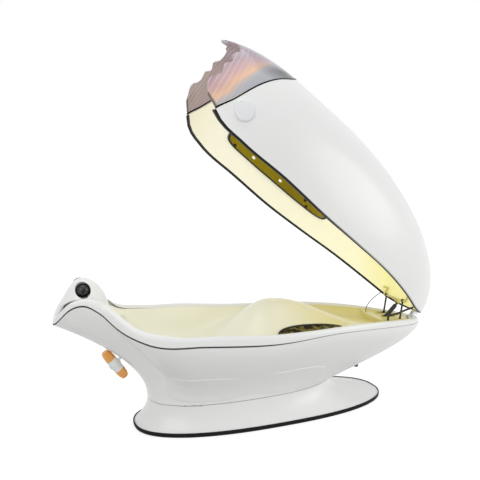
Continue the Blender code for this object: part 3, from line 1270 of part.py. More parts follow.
def main():
    clear_scene()
    looks = {
        "white": material("white_shell", (0.80, 0.80, 0.78), 0.18),
        "cream": material("cream_liner", (0.85, 0.80, 0.58), 0.30),
        "pad": material("cream_pad", (0.86, 0.82, 0.66), 0.55),
        "rubber": material("black_rubber", (0.02, 0.02, 0.02), 0.6),
        "black": material("black_plastic", (0.025, 0.025, 0.028), 0.4),
        "amber": material("amber_heater", (0.40, 0.33, 0.05), 0.3),
        "hood": material("frosted_hood", (0.62, 0.52, 0.60), 0.25),
        "steel": material("steel", (0.45, 0.46, 0.48), 0.35, 1.0),
        "orange": material("orange_cap", (0.83, 0.34, 0.08), 0.25),
    }
    build_pedestal(looks)
    build_hull(looks)
    build_deck(looks)
    build_bed(looks)
    build_foot_deck(looks)
    build_console(looks)
    build_fan(looks)
    pivot = bpy.data.objects.new("lid_pivot", None)
    bpy.context.scene.collection.objects.link(pivot)
    pivot.location = (HINGE_X, 0, HINGE_Z)
    pivot.rotation_euler = (0, LID_OPEN, 0)
    place = {"origin": (HINGE_X, 0, HINGE_Z), "parent": pivot}
    build_lid(looks, **place)
    build_hinge(looks, **place)
    build_crossbar(looks, **place)
    build_struts(looks)
    build_actuator(looks)
    build_foot_bracket(looks)
    build_cables(looks)
    build_cartridge(looks)
    build_underside(looks)


main()
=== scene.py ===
"""Infrared wellness pod in a plain studio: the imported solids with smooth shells, soft pad and finishes."""

import json
from collections import namedtuple
from itertools import product
from math import cos, pi, radians, sin

import bmesh
import bpy
import numpy as np
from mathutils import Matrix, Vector


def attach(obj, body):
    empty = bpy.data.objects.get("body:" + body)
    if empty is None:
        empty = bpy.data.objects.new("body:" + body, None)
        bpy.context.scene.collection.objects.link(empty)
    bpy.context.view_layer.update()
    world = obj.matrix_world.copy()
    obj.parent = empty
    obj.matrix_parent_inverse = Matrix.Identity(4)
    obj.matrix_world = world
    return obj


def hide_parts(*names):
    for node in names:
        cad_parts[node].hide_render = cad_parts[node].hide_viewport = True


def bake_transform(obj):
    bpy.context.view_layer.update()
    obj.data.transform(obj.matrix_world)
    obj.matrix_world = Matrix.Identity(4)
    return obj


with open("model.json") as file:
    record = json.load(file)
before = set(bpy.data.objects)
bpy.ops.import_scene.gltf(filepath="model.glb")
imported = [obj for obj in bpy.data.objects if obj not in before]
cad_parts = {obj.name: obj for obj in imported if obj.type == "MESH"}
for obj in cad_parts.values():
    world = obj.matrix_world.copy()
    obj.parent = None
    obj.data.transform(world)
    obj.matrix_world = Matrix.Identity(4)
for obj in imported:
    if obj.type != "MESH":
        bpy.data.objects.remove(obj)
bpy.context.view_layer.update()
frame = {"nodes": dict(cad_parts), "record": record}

scene = bpy.context.scene


def put(name, data):
    thing = bpy.data.objects.new(name, data)
    scene.collection.objects.link(thing)
    return thing


# Camera at the photograph's angle
camera = put("camera", bpy.data.cameras.new("camera"))
camera.data.lens = 45.0
camera.data.sensor_width = 36.0
camera.location = (-1.43, -3.26, 1.54)
camera.rotation_euler = (radians(82.0), 0.0, radians(-21.4))
scene.camera = camera
scene.view_settings.view_transform = "Standard"


# Materials

MIX_FACTOR, MIX_FIRST, MIX_SECOND, MIX_RESULT = 0, 6, 7, 2  # a Mix node's sockets for colours


def grey(level):
    return level, level, level


OFF, ON = grey(0), grey(1)


class Look:
    """A procedural material: a Principled shader and the nodes that feed it."""

    def __init__(self, name, colour, roughness, **values):
        self.material = bpy.data.materials.new(name)
        self.material.use_nodes = True
        self.tree = self.material.node_tree
        self.shader = self.tree.nodes["Principled BSDF"]
        self.shader.inputs["Base Color"].default_value = (*colour, 1.0)
        self.shader.inputs["Roughness"].default_value = roughness
        for key, value in values.items():
            self.shader.inputs[key.replace("_", " ")].default_value = value

    def node(self, kind, **inputs):
        made = self.tree.nodes.new(kind)
        for key, value in inputs.items():
            made.inputs[key.replace("_", " ")].default_value = value
        return made

    def link(self, source, target):
        self.tree.links.new(source, target)

    def place(self):
        return self.node("ShaderNodeTexCoord").outputs["Object"]

    def ramp(self, factor, stops):
        made = self.node("ShaderNodeValToRGB")
        elements = made.color_ramp.elements
        for k, (position, colour) in enumerate(stops):
            element = elements[k] if k < 2 else elements.new(position)
            element.position = position
            element.color = (*colour, 1.0)
        self.link(factor, made.inputs["Fac"])
        return made.outputs["Color"]

    def mask(self, factor, start, end, falls=False):
        """A fade from 0 to 1 between two values of factor, or from 1 to 0 where it falls."""
        return self.ramp(factor, ((start, ON), (end, OFF)) if falls else ((start, OFF), (end, ON)))

    def math(self, operation, *values):
        made = self.node("ShaderNodeMath")
        made.operation = operation
        for slot, value in zip(made.inputs, values):
            if isinstance(value, (int, float)):
                slot.default_value = value
            else:
                self.link(value, slot)
        return made.outputs["Value"]

    def along(self, axis, scale=0.5):
        """Distance along an axis, scaled, with 0.5 at the origin."""
        split = self.node("ShaderNodeSeparateXYZ")
        self.link(self.place(), split.inputs["Vector"])
        return self.math("MULTIPLY_ADD", split.outputs[axis], scale, 0.5)

    def uv(self, name):
        source = self.node("ShaderNodeUVMap")
        source.uv_map = name
        split = self.node("ShaderNodeSeparateXYZ")
        self.link(source.outputs["UV"], split.inputs["Vector"])
        return split.outputs["X"], split.outputs["Y"]

    def noise(self, scale, detail=3.0):
        made = self.node("ShaderNodeTexNoise", Scale=scale, Detail=detail)
        self.link(self.place(), made.inputs["Vector"])
        return made.outputs["Fac"]

    def mix(self, factor, first, second):
        made = self.node("ShaderNodeMix")
        made.data_type = "RGBA"
        for value, slot in ((factor, MIX_FACTOR), (first, MIX_FIRST), (second, MIX_SECOND)):
            if isinstance(value, tuple):
                made.inputs[slot].default_value = (*value, 1.0)
            else:
                self.link(value, made.inputs[slot])
        return made.outputs[MIX_RESULT]

    def colour(self, source):
        self.link(source, self.shader.inputs["Base Color"])
        return self

    def worn(self, scale, low, high):
        """Roughness that drifts a little over the surface."""
        span = self.node("ShaderNodeMapRange", To_Min=low, To_Max=high)
        self.link(self.noise(scale), span.inputs["Value"])
        self.link(span.outputs["Result"], self.shader.inputs["Roughness"])
        return self

    def mottled(self, scale, first, second):
        return self.colour(self.mix(self.noise(scale), first, second))

    def bumpy(self, scale, strength, distance, detail=2.0):
        bump = self.node("ShaderNodeBump", Strength=strength, Distance=distance)
        self.link(self.noise(scale, detail), bump.inputs["Height"])
        self.link(bump.outputs["Normal"], self.shader.inputs["Normal"])
        return self


def white_look(name, colour):
    look = Look(name, colour, 0.3, Coat_Weight=0.15, Coat_Roughness=0.12)
    look.worn(3.0, 0.28, 0.38).bumpy(45.0, 0.02, 0.0005)
    return look.mottled(2.2, colour, tuple(0.97 * c for c in colour))


white = white_look("white_gelcoat", (0.87, 0.87, 0.845))
# The side panels' white is a touch darker than the hull's: painted shade.
panel_white = white_look("white_panel", (0.86, 0.86, 0.835))
cap_white = white_look("white_cap", grey(0.83))

cream = Look("cream_liner", (0.86, 0.84, 0.62), 0.3, Coat_Weight=0.25)
cream.worn(4.0, 0.26, 0.38).bumpy(120.0, 0.03, 0.0004)
cream.colour(cream.ramp(cream.along("X"), (
    (0.0, (0.94, 0.93, 0.78)), (0.52, (0.91, 0.88, 0.68)),
    (0.70, (0.80, 0.72, 0.36)), (0.95, (0.80, 0.71, 0.28)))))

# The lid's liner glows faintly in its own colours: painted light that brightens its shaded underside.
lid_cream = Look("lid_cream", (0.90, 0.88, 0.68), 0.32, Coat_Weight=0.1, Emission_Strength=0.32)
lid_cream.worn(4.0, 0.28, 0.4).bumpy(120.0, 0.03, 0.0004)
tint = lid_cream.ramp(lid_cream.along("X"), (
    (0.0, (0.92, 0.90, 0.74)), (0.5, (0.93, 0.91, 0.78)),
    (0.90, (0.92, 0.90, 0.73)), (1.0, (0.86, 0.83, 0.48))))
lid_cream.colour(tint).link(tint, lid_cream.shader.inputs["Emission Color"])

pad = Look("cream_pad", (0.86, 0.83, 0.66), 0.55, Sheen_Weight=0.15)
pad.worn(9.0, 0.48, 0.62).bumpy(420.0, 0.12, 0.0006, 4.0)
pad.mottled(6.0, (0.87, 0.84, 0.67), (0.82, 0.78, 0.58))

rubber = Look("black_rubber", grey(0.008), 0.5, Specular_IOR_Level=0.12)
rubber.worn(30.0, 0.5, 0.7).bumpy(300.0, 0.1, 0.0003).mottled(25.0, grey(0.006), grey(0.013))

# The lid's rim band turns pale towards the foot on the near side alone: a painted highlight.
rim_band = Look("rim_band", grey(0.02), 0.4, Specular_IOR_Level=0.2).worn(30.0, 0.4, 0.55)
near_side_painted_highlight = rim_band.ramp(rim_band.along("X"), (
    (0.30, grey(0.008)), (0.55, grey(0.06)), (0.80, (0.62, 0.62, 0.60))))
far_side = rim_band.mask(rim_band.along("Y", 1.0), 0.49, 0.51)
rim_band.colour(rim_band.mix(far_side, near_side_painted_highlight, grey(0.008)))

black = Look("black_plastic", (0.014, 0.014, 0.016), 0.3)
black.worn(40.0, 0.22, 0.36).bumpy(380.0, 0.08, 0.0003)
black.mottled(30.0, (0.012, 0.012, 0.014), (0.022, 0.022, 0.024))

# The seam's rubber turns grey towards the foot: a painted highlight.
seam = Look("seam_rubber", grey(0.02), 0.45).worn(30.0, 0.4, 0.55)
seam.colour(seam.ramp(seam.along("X"), (
    (0.42, grey(0.014)), (0.60, grey(0.10)), (0.76, (0.44, 0.44, 0.43)))))

steel = Look("satin_steel", (0.52, 0.53, 0.55), 0.3, Metallic=1.0)
steel.worn(60.0, 0.24, 0.4).bumpy(500.0, 0.08, 0.0002)
steel.mottled(80.0, (0.50, 0.51, 0.53), (0.58, 0.59, 0.60))

orange = Look("orange_plastic", (0.83, 0.30, 0.05), 0.22, Coat_Weight=0.3).worn(20.0, 0.18, 0.3)
orange.mottled(14.0, (0.92, 0.42, 0.07), (0.80, 0.30, 0.05))


def heater_look(name, bright, dim, grain, span):
    """A plate with a few dark dots on a mottled ground."""
    look = Look(name, bright, 0.4, Specular_IOR_Level=0.15)
    cells = look.node("ShaderNodeTexVoronoi", Scale=17.0, Randomness=0.75)
    look.link(look.place(), cells.inputs["Vector"])
    dots = look.mask(cells.outputs["Distance"], 0.18, 0.22, falls=True)
    mottle = look.mask(look.noise(grain), 0.5 - span, 0.5 + span)
    look.colour(look.mix(dots, look.mix(mottle, bright, dim), (0.035, 0.022, 0.006)))
    return look.worn(12.0, 0.35, 0.5).bumpy(60.0, 0.1, 0.0008)


amber = heater_look("amber_heater", (0.44, 0.34, 0.012), (0.26, 0.19, 0.008), 5.0, 0.4)
ember = heater_look("dark_heater", (0.20, 0.16, 0.035), (0.012, 0.010, 0.005), 34.0, 0.07)
lens = Look("lamp_lens", (0.94, 0.93, 0.84), 0.25, Coat_Weight=0.3,
            Emission_Color=(0.94, 0.93, 0.84, 1.0), Emission_Strength=0.35).worn(80.0, 0.2, 0.3)

HOOD_WAVE, HOOD_SKEW, HOOD_SKEW_SHIFT, HOOD_CREASES, HOOD_INSIDE_PAINTED_GLOW = 0.10, 0.77, 0.4, 120.0, 0.18
HOOD_SILVER = (0.44, 0.45, 0.48)


def hood_look():
    """Frosted plastic: silver at the seam, peach low on the flanks, then mauve, with painted highlights
    along creases in front and an inner side that glows as painted light.
    """
    look = Look("frosted_hood", (0.6, 0.55, 0.6), 0.22, Coat_Weight=0.4)
    from_seam, across = look.uv("from_seam")
    from_front, within = look.uv("from_front")
    wave = look.math("MULTIPLY", look.math("SUBTRACT", look.noise(6.0), 0.5), HOOD_WAVE)
    depth = look.math("ADD", from_seam, wave)
    rise = look.math("PINGPONG", across, 0.5)
    slant = look.math("SUBTRACT", depth, look.math("MULTIPLY", rise, HOOD_SKEW))
    skew = look.math("ADD", slant, HOOD_SKEW_SHIFT)
    flank = look.ramp(skew, (
        (0.30, HOOD_SILVER), (0.38, (0.50, 0.48, 0.50)), (0.44, (0.84, 0.52, 0.32)),
        (0.53, (0.62, 0.36, 0.34)), (0.64, (0.42, 0.29, 0.33)), (0.95, (0.36, 0.27, 0.33))))
    upper = look.ramp(skew, ((0.26, HOOD_SILVER), (0.48, (0.42, 0.34, 0.40)), (0.70, (0.36, 0.28, 0.35))))
    base = look.mix(look.mask(rise, 0.22, 0.36), flank, upper)
    crown = look.math("MULTIPLY", look.mask(rise, 0.22, 0.32), look.mask(depth, 0.12, 0.30, falls=True))
    base = look.mix(crown, base, (0.07, 0.07, 0.075))
    inside = look.ramp(depth, (
        (0.05, (0.44, 0.35, 0.38)), (0.40, (0.46, 0.35, 0.40)), (0.80, (0.36, 0.27, 0.33))))
    base = look.mix(within, base, inside)
    # Thin pale lines in front: painted highlights along the sheet's creases.
    bend = look.math("ADD", from_front, look.math("MULTIPLY", wave, 0.5))
    lines = look.math("SINE", look.math("MULTIPLY", bend, HOOD_CREASES))
    in_front = look.ramp(bend, ((0.18, grey(0.5)), (0.42, OFF)))
    crease_highlights = look.math("MULTIPLY", look.mask(lines, 0.90, 1.0), in_front)
    base = look.mix(crease_highlights, base, (0.90, 0.86, 0.90))
    shade = look.mix(look.mask(rise, 0.003, 0.006, falls=True), base, grey(0.02))
    look.colour(shade).link(shade, look.shader.inputs["Emission Color"])
    # The hood's inner side glows a little in its own colour: painted light.
    look.link(look.math("MULTIPLY", within, HOOD_INSIDE_PAINTED_GLOW), look.shader.inputs["Emission Strength"])
    return look.worn(10.0, 0.16, 0.3).bumpy(14.0, 0.25, 0.003)


hood_plastic = hood_look()

NODE_LOOKS = {
    "rubber": rubber, "black": black, "amber": amber, "steel": steel, "orange": orange,
    "white": white, "cream": cream, "pad": pad, "hood": hood_plastic,
}
for entry in frame["record"]["subparts"]:
    node = frame["nodes"][entry["node"]]
    node.data.materials.clear()
    node.data.materials.append(NODE_LOOKS[entry["material_slot"]].material)
frame["nodes"]["lid_crossbar"].data.materials[0] = cream.material


# Shape lines, in the solids' own measures

SIDES = (("near", -1), ("far", 1))
HEAD_TIP_X, FOOT_TIP_X, WIDEST_X, BODY_HEAD_X = -1.226, 1.145, -0.40, -1.0
HALF_WIDTH, SNOUT_HALF_WIDTH, FOOT_DRAW_IN = 0.405, 0.158, 2.2
FOOT_POWER, FOOT_ROOT, HEAD_POWER, SNOUT_POWER, SNOUT_BLEND = 2.1, 1.55, 2.6, 2.4, 4
SAMPLES, TURN_WEIGHT, STATIONS = 4000, 0.25, 97
GAP = 0.0004
# Pedestal and hull
FLOOR_HALF_LENGTH, FLOOR_HALF_WIDTH = 0.80, 0.31
TRIM_HEIGHT, TRIM_WIDTH = 0.020, 0.022
TRIM_SECTION = ((0.0, 0.0), (-0.0035, 0.004), (-0.005, 0.012), (-0.005, 0.020), (-0.0035, 0.0245),
                (-0.0012, 0.0255), (0.0005, 0.0245), (0.0006, TRIM_HEIGHT), (TRIM_WIDTH, TRIM_HEIGHT),
                (TRIM_WIDTH, 0.0))
WAIST_Z, WAIST_MIDDLE_X, WAIST_HALF_LENGTH, WAIST_HALF_WIDTH = 0.165, -0.148, 0.572, 0.25
OVAL_POWER, SHELL_WALL = 2.4, 0.012
PLINTH_POWER, PLINTH_INSET, PLINTH_TOP_GAP, PLINTH_TOP_DROP = 2.3, 0.0015, 0.0012, 0.003
NOTCH_X, NOTCH_HALF_LENGTH, NOTCH_DEPTH, NOTCH_SLOPE = -0.52, 0.055, 0.007, 4
PLINTH_LEVELS, HULL_LEVELS, HULL_END_POWER = 26, 34, 1.9
SEAM_LINE = ((-1.226, 0.650), (-1.15, 0.745), (-1.08, 0.768), (-1.0, 0.722), (-0.92, 0.648), (-0.80, 0.586),
             (-0.50, 0.556), (-0.10, 0.520), (0.35, 0.522), (0.70, 0.492), (1.145, 0.432))
GASKET_HEIGHT, GASKET_THINNING, GASKET_THIN_X, GASKET_THIN_LENGTH = 0.009, 0.005, -0.30, 0.5
GASKET_CLEARANCE = 0.0002
GASKET_SECTION = ((0.0003, -1), (-0.0008, -0.4), (-0.0008, 0.4), (0.0003, 1),
                  (SHELL_WALL, 1), (SHELL_WALL, -1))
PANEL_X, PANEL_LEVEL, PANEL_HALVES, PANEL_POWER = -0.18, 0.25, (0.47, 0.205), 7.0
PANEL_RAISE, PANEL_BACK = 0.004, 0.0006
PANEL_EDGE = ((1.0, 0.0012), (0.992, 0.0028), (0.98, 0.0036))
PANEL_STEPS = (0.97, 0.9, 0.8, 0.7, 0.6, 0.5, 0.4, 0.3, 0.2, 0.1)
PANEL_BACK_STEPS = (1.0, 0.98, *PANEL_STEPS)
# Deck
CREST_LINE = ((-1.226, 0.694), (-1.17, 0.770), (-1.08, 0.803), (-1.0, 0.775), (-0.93, 0.722), (-0.85, 0.664),
              (-0.70, 0.624), (-0.40, 0.600), (-0.10, 0.572), (0.20, 0.560), (0.50, 0.550), (0.80, 0.520),
              (1.0, 0.490), (1.145, 0.466))
DECK_LIP, LIP_LEAST, LIP_EASE_X, LIP_EASE_LENGTH = 0.040, 0.3, -0.95, 0.09
# Each of these is an inset, a share of the rise from the seam to the crest, and a drop below it
DECK_TOP = ((0.0, 0.0, 0.0), (0.002, 0.55, 0.0), (0.008, 0.88, 0.0), (0.018, 1.0, 0.0), (0.031, 1.0, 0.004),
            (DECK_LIP, 1.0, 0.018))
DECK_BACK, DECK_STEPS = ((0.028, 1.0, 0.018), (SHELL_WALL, 0.0, 0.0)), 4
HINGE_SLOT = ((1.052, 1.118), (-0.020, 0.020), (0.3, 0.6))
# Bed and foot deck
LINER_DROP, LINER_WALL, LINER_STEEPEST = 0.014, 0.009, 3.0
LINER_HEAD_X, LINER_FOOT_X, LINER_EDGE_GAP = -0.925, 0.797, 0.0020
BED_LINE = ((-0.925, 0.690), (-0.87, 0.630), (-0.78, 0.520), (-0.62, 0.440), (-0.40, 0.412), (-0.12, 0.420),
            (0.35, 0.440), (0.80, 0.440))
BED_EDGE_POWER, BED_ROWS, BED_COLUMNS = 5, 130, 73
KNEE_X, KNEE_RISE, KNEE_HEAD_LENGTH, KNEE_FOOT_LENGTH, KNEE_WIDTH = 0.03, 0.250, 0.27, 0.46, 0.27
KNEE_EDGE_POWER = 4
FOOT_DECK_END_X, FOOT_DECK_Z, FOOT_DECK_FALL, FOOT_DECK_POWER = 1.035, 0.487, 0.022, 6
FOOT_DECK_WALL, SKIRT_Z, SKIRT_SHARE = 0.006, 0.437, 0.9
FOOT_DECK_ROWS, FOOT_DECK_COLUMNS = 34, 49
STRUT_Y, STRUT_SLOT_X, STRUT_SLOT_HALF = 0.090, (0.868, 0.954), 0.0135
RAM_SLOT_X, RAM_SLOT_HALF = (0.850, 0.962), 0.020
SLOT_SIDES, SLOT_CUT = 48, 0.05
COLLAR_SECTION = ((0.006, 0.0006), (0.0052, 0.003), (0.0036, 0.0052), (0.0020, 0.006), (0.0008, 0.006),
                  (0.0, 0.005), (0.0, 0.0006))
# Headrest pad; crown and underside are shares of its half size and of its thickness
PILLOW_X, PILLOW_HALVES, PILLOW_POWER, PILLOW_THICKNESS = -0.805, (0.07, 0.45), 3.0, 0.05
PILLOW_EDGE = 0.42
PILLOW_CROWN = ((1.0, PILLOW_EDGE), (0.985, 0.60), (0.94, 0.78), (0.86, 0.90), (0.7, 0.97), (0.5, 1.0),
                (0.3, 1.0), (0.1, 1.0))
PILLOW_UNDER = ((0.985, 0.25), (0.94, 0.10), (0.86, 0.03), (0.7, 0.02), (0.5, 0.02), (0.3, 0.02),
                (0.1, 0.02))
CLOTH_FRAMES, CLOTH_PRESSURE, CLOTH_STIFFNESS = 12, 3.0, 25.0
MOST_SWELL, LEAST_MOVE, DOWNWARD = 0.005, 1e-9, -0.2
PIPING_RADIUS, PIPING_SHARE, PIPING_SIDES = 0.0022, 1.004, 8
# Console and vents
CONSOLE_WALL, CONSOLE_DROP, CONSOLE_REAR_X, CONSOLE_FLARE = 0.004, 0.006, -0.928, 1.35
CONSOLE_EDGE_GAP, CONSOLE_FRONT_GAP, LEAST_DOME, DOME_LIMIT = 0.0012, 0.004, 0.001, 0.97
DOME_POWER, DOME_ROOT, DOME_CROWDING, DOME_STEEPNESS = 3.2, 1.15, 1.4, 1.5
CONSOLE_ROWS, CONSOLE_COLUMNS, CONSOLE_LEDGE = 60, 34, (0.0, 0.35, 0.7, 0.9)
CONSOLE_LINE = ((-1.186, 0.752), (-1.17, 0.780), (-1.146, 0.822), (-1.106, 0.871), (-1.057, 0.886),
                (-1.01, 0.868), (-0.97, 0.832), (-0.945, 0.785), (-0.928, 0.722))
CONSOLE_HALF_WIDTHS = ((-1.186, 0.020), (-1.15, 0.062), (-1.08, 0.080), (-1.0, 0.080), (-0.95, 0.066),
                       (-0.928, 0.045))
VENT_X, VENT_Z, VENT_FACE_Y, NOZZLE_RADIUS = -1.072, 0.838, 0.083, 0.011
VENT_RADIUS, BEZEL_BORE, VENT_DEPTH = 0.0395, 0.0345, 0.030
BALL_RADIUS, BALL_END_ANGLE, BALL_POINTS, VENT_CUT_Y, VENT_CUT_PAST = 0.0335, 0.45, 25, 0.2, 0.01
BEZEL_SECTION = ((0.006, VENT_RADIUS - 0.0004), (0.003, VENT_RADIUS - 0.003), (0.0008, BEZEL_BORE + 0.003),
                 (0, BEZEL_BORE + 0.0016), (0.003, BEZEL_BORE), (VENT_DEPTH, BEZEL_BORE),
                 (VENT_DEPTH, VENT_RADIUS), (0.008, VENT_RADIUS))
# Heaters
BED_HEATER_X, BED_HEATER_ACROSS, BED_HEATER_HALVES, BED_HEATER_POWER = 0.21, 0.755, (0.225, 0.13), 4.0
LID_HEATER_X, LID_HEATER_ANGLE, LID_HEATER_HALVES, LID_HEATER_POWER = -0.145, 0.375, (0.445, 0.20), 7.0
BED_HEATER_BAND, BED_HEATER_SIDES, LID_HEATER_BAND = (0.012, 0.025), 72, (0.014, 0.016)
HEATER_RAISE, HEATER_SEAT, PLATE_RAISE, PLATE_SEAT = 0.010, 0.0006, 0.006, 0.0008
# Frame rings, as shares of the half size and of the height
FRAME_OUTER, FRAME_INNER = ((1.0, 0.5), (0.992, 0.85), (0.985, 1.0)), ((1.012, 1.0), (1.0, 0.9))
PLATE_STEPS = (0.992, 0.9, 0.75, 0.6, 0.45, 0.3, 0.15)
LID_LAMPS, LID_LAMP_ANGLE, LID_LAMP_HALVES = (("head", -0.36), ("foot", -0.12)), 0.245, (0.013, 0.016)
LAMP_DOME = ((1.0, 0.0070), (0.8, 0.0084), (0.4, 0.0090))
LAMP_SEAT = ((1.0, 0.0062), (0.4, 0.0062))
# Lid and hood
HINGE_X, HINGE_Z, LID_OPEN = 1.075, 0.440, radians(34.6)
LID_FOOT_X, LID_CLEARANCE, LID_NECK_HALF_WIDTH = 1.122, 0.013, 0.168
LID_TAIL_START_X, LID_TAIL_RISE, LID_TAIL_LENGTH = 0.90, 0.040, 0.20
LID_TOP_Z, LID_TOP_X, LID_HOOD_TIP_X, LID_HOOD_RISE, LID_HOOD_FALL = 1.170, -0.30, -1.012, 0.030, 0.089
LID_WALL, LID_LINER_INSET, LID_LINER_WALL, LID_ARCH_POWER = 0.006, 0.028, 0.006, 2.4
LID_BACK_POWER, LID_HOOD_POWER, LID_LEAST_RISE, LID_END_GAP, LID_ROWS = 1.9, 4, 0.002, 0.0015, 72
LID_LIFT_START_X, LID_LIFT_LENGTH, LID_HEAD_LIFT = -0.81, 0.10, 0.0085
ARCH_STEPS, ARCH_CROWDING = 64, 0.30
RIM_BAND_HEIGHT, SEAL_GAP, SEAL_HEIGHT, SEAL_WIDTH, SEAL_INSET = 0.006, 0.0008, 0.0035, 0.010, 0.004
HOOD_TRIM_WIDTH, HOOD_TRIM_GAP, LID_EDGE_GAP = 0.008, 0.0011, 0.0008
HOOD_TRIM_SECTION = ((-1, 0.001), (-0.4, 0.002), (0.4, 0.002), (1, 0.001))
HOOD_SEAM = ((0.0, -0.897), (0.1, -0.872), (0.2, -0.848), (0.3, -0.827), (0.45, -0.795), (0.6, -0.757),
             (0.8, -0.695), (1.0, -0.625), (1.2, -0.580), (1.4, -0.562), (1.571, -0.560))
HOOD_FRONT = ((0.0, -0.955), (0.08, -0.985), (0.16, -0.985), (0.25, -0.965), (0.35, -0.950), (0.5, -0.962),
              (0.62, -0.930), (0.75, -0.955), (0.9, -0.925), (1.05, -0.925), (1.2, -0.935), (1.28, -0.962),
              (1.34, -0.945), (1.45, -1.000), (1.571, -1.012))
HOOD_ROWS, HOOD_MAP_LENGTH = 36, 0.45
CAP_X, CAP_ANGLE, CAP_HALVES, CAP_HEIGHT, CAP_SEAT = -0.78, 0.185, (0.053, 0.099), 0.016, 0.0012
CAP_DOME = ((1.0, 0.5), (0.985, 0.68), (0.94, 0.82), (0.86, 0.90), (0.7, 0.96), (0.45, 1.0), (0.2, 1.0))
CAP_BACK_STEPS, CAP_SIDES, CAP_PIN_SIDES, LAMP_SIDES = (1.0, 0.7, 0.4, 0.2), 64, 24, 20
CAP_PIN_X, CAP_PIN_ANGLE, CAP_PIN_HALVES = CAP_X - 0.030, CAP_ANGLE + 0.035, (0.0055, 0.011)
CAP_PIN_DOME, CAP_PIN_BACK = ((1.0, 0.93), (0.8, 0.99), (0.4, 1.0)), ((1.0, 0.7), (0.4, 0.7))
# Cables
CABLE_POINTS, CABLE_SIDES, CABLE_SEAT, CABLE_DROP = 40, 16, 0.0018, 0.02
CONDUIT_RADIUS, WIRE_RADIUS = 0.0065, 0.0024


def curve_through(points):
    xs, zs = np.array(points).T
    slopes = np.gradient(zs, xs)

    def value(x):
        x = np.clip(x, xs[0], xs[-1])
        k = np.clip(np.searchsorted(xs, x) - 1, 0, len(xs) - 2)
        step = xs[k + 1] - xs[k]
        t = (x - xs[k]) / step
        low = (1 + 2 * t) * (1 - t) ** 2 * zs[k] + t * (1 - t) ** 2 * step * slopes[k]
        high = t * t * (3 - 2 * t) * zs[k + 1] + t * t * (t - 1) * step * slopes[k + 1]
        return low + high

    return value


def line_through(measure, points, fine):
    """A smooth line through points that lie at the values of measure, taken at the fine values."""
    curves = [curve_through(np.stack([measure, column], 1)) for column in np.transpose(points)]
    return np.stack([curve(fine) for curve in curves], 1)


def eased(x, start, length):
    """0 up to start, 1 from start + length on, and smooth between them."""
    t = np.clip((np.asarray(x) - start) / length, 0, 1)
    return t * t * (3 - 2 * t)


def unit(vectors):
    return vectors / np.linalg.norm(vectors, axis=-1, keepdims=True)


seam_z, crest_z, bed_spine_z = map(curve_through, (SEAM_LINE, CREST_LINE, BED_LINE))
console_top_z, console_half_width = map(curve_through, (CONSOLE_LINE, CONSOLE_HALF_WIDTHS))
hood_seam = curve_through(HOOD_SEAM)


def gasket_height(x):
    """The dark seam thins out towards the foot."""
    return GASKET_HEIGHT - GASKET_THINNING * eased(x, GASKET_THIN_X, GASKET_THIN_LENGTH)


def half_width(x, inset=0.0, foot_tip=FOOT_TIP_X, neck=SNOUT_HALF_WIDTH):
    x = np.asarray(x, float)
    foot_u = np.clip((x - WIDEST_X) / (foot_tip - FOOT_DRAW_IN * inset - WIDEST_X), 0, 1)
    head_u = np.clip((WIDEST_X - x) / (WIDEST_X - BODY_HEAD_X - inset), 0, 1)
    snout_u = np.clip((BODY_HEAD_X - x) / (BODY_HEAD_X - HEAD_TIP_X - inset), 0, 1)
    fade = np.clip((x - BODY_HEAD_X) / (WIDEST_X - BODY_HEAD_X), 0, 1)
    foot = (1 - foot_u**FOOT_POWER) ** (1 / FOOT_ROOT)
    body = (HALF_WIDTH - inset) * np.where(x > WIDEST_X, foot, (1 - head_u**HEAD_POWER) ** 0.5)
    snout = (neck - inset) * (1 - snout_u**SNOUT_POWER) ** 0.5 * (1 - fade**2)
    return (body**SNOUT_BLEND + snout**SNOUT_BLEND) ** (1 / SNOUT_BLEND)


def outline_shares(count):
    """Shares of the length for a ring's stations, closer together where the outline turns."""
    middle = (HEAD_TIP_X + FOOT_TIP_X) / 2
    x = middle - (FOOT_TIP_X - HEAD_TIP_X) / 2 * np.cos(np.linspace(0, pi, SAMPLES))
    y = half_width(x)
    heading = np.unwrap(np.arctan2(np.diff(y), np.diff(x)))
    turning = np.abs(np.diff(heading, prepend=heading[0]))
    steps = np.hypot(np.diff(x), np.diff(y)) + TURN_WEIGHT * turning
    measure = np.concatenate([[0.0], np.cumsum(steps)])
    stations = np.interp(np.linspace(0, measure[-1], count), measure, x)
    return (stations - HEAD_TIP_X) / (FOOT_TIP_X - HEAD_TIP_X)


SHARES = outline_shares(STATIONS)


def both_sides(x, y, z):
    y[0] = y[-1] = 0.0
    near = np.stack([x, -y, z], 1)
    far = np.stack([x, y, z], 1)[-2:0:-1]
    return np.concatenate([near, far])


def outline_ring(inset, height):
    head = HEAD_TIP_X + inset
    foot = FOOT_TIP_X - FOOT_DRAW_IN * inset
    x = head + SHARES * (foot - head)
    return both_sides(x, half_width(x, inset), height(HEAD_TIP_X + SHARES * (FOOT_TIP_X - HEAD_TIP_X)))


def oval_ring(middle, half_length, half_wide, z):
    x = middle + half_length * (2 * SHARES - 1)
    y = half_wide * (1 - np.abs(2 * SHARES - 1) ** OVAL_POWER) ** (1 / OVAL_POWER)
    return both_sides(x, y, np.full_like(x, z))


def waist_ring(inset, z):
    return oval_ring(WAIST_MIDDLE_X, WAIST_HALF_LENGTH - inset, WAIST_HALF_WIDTH - inset, z)


def floor_ring(inset, z):
    return oval_ring(0.0, FLOOR_HALF_LENGTH - inset, FLOOR_HALF_WIDTH - inset, z)


def plinth_ring(share, inset):
    low = floor_ring(inset, TRIM_HEIGHT + GAP)
    high = waist_ring(inset, WAIST_Z - PLINTH_TOP_GAP)
    ring = high + (low - high) * (1 - share) ** PLINTH_POWER
    ring[:, 2] = low[:, 2] + (high[:, 2] - low[:, 2]) * share
    return ring


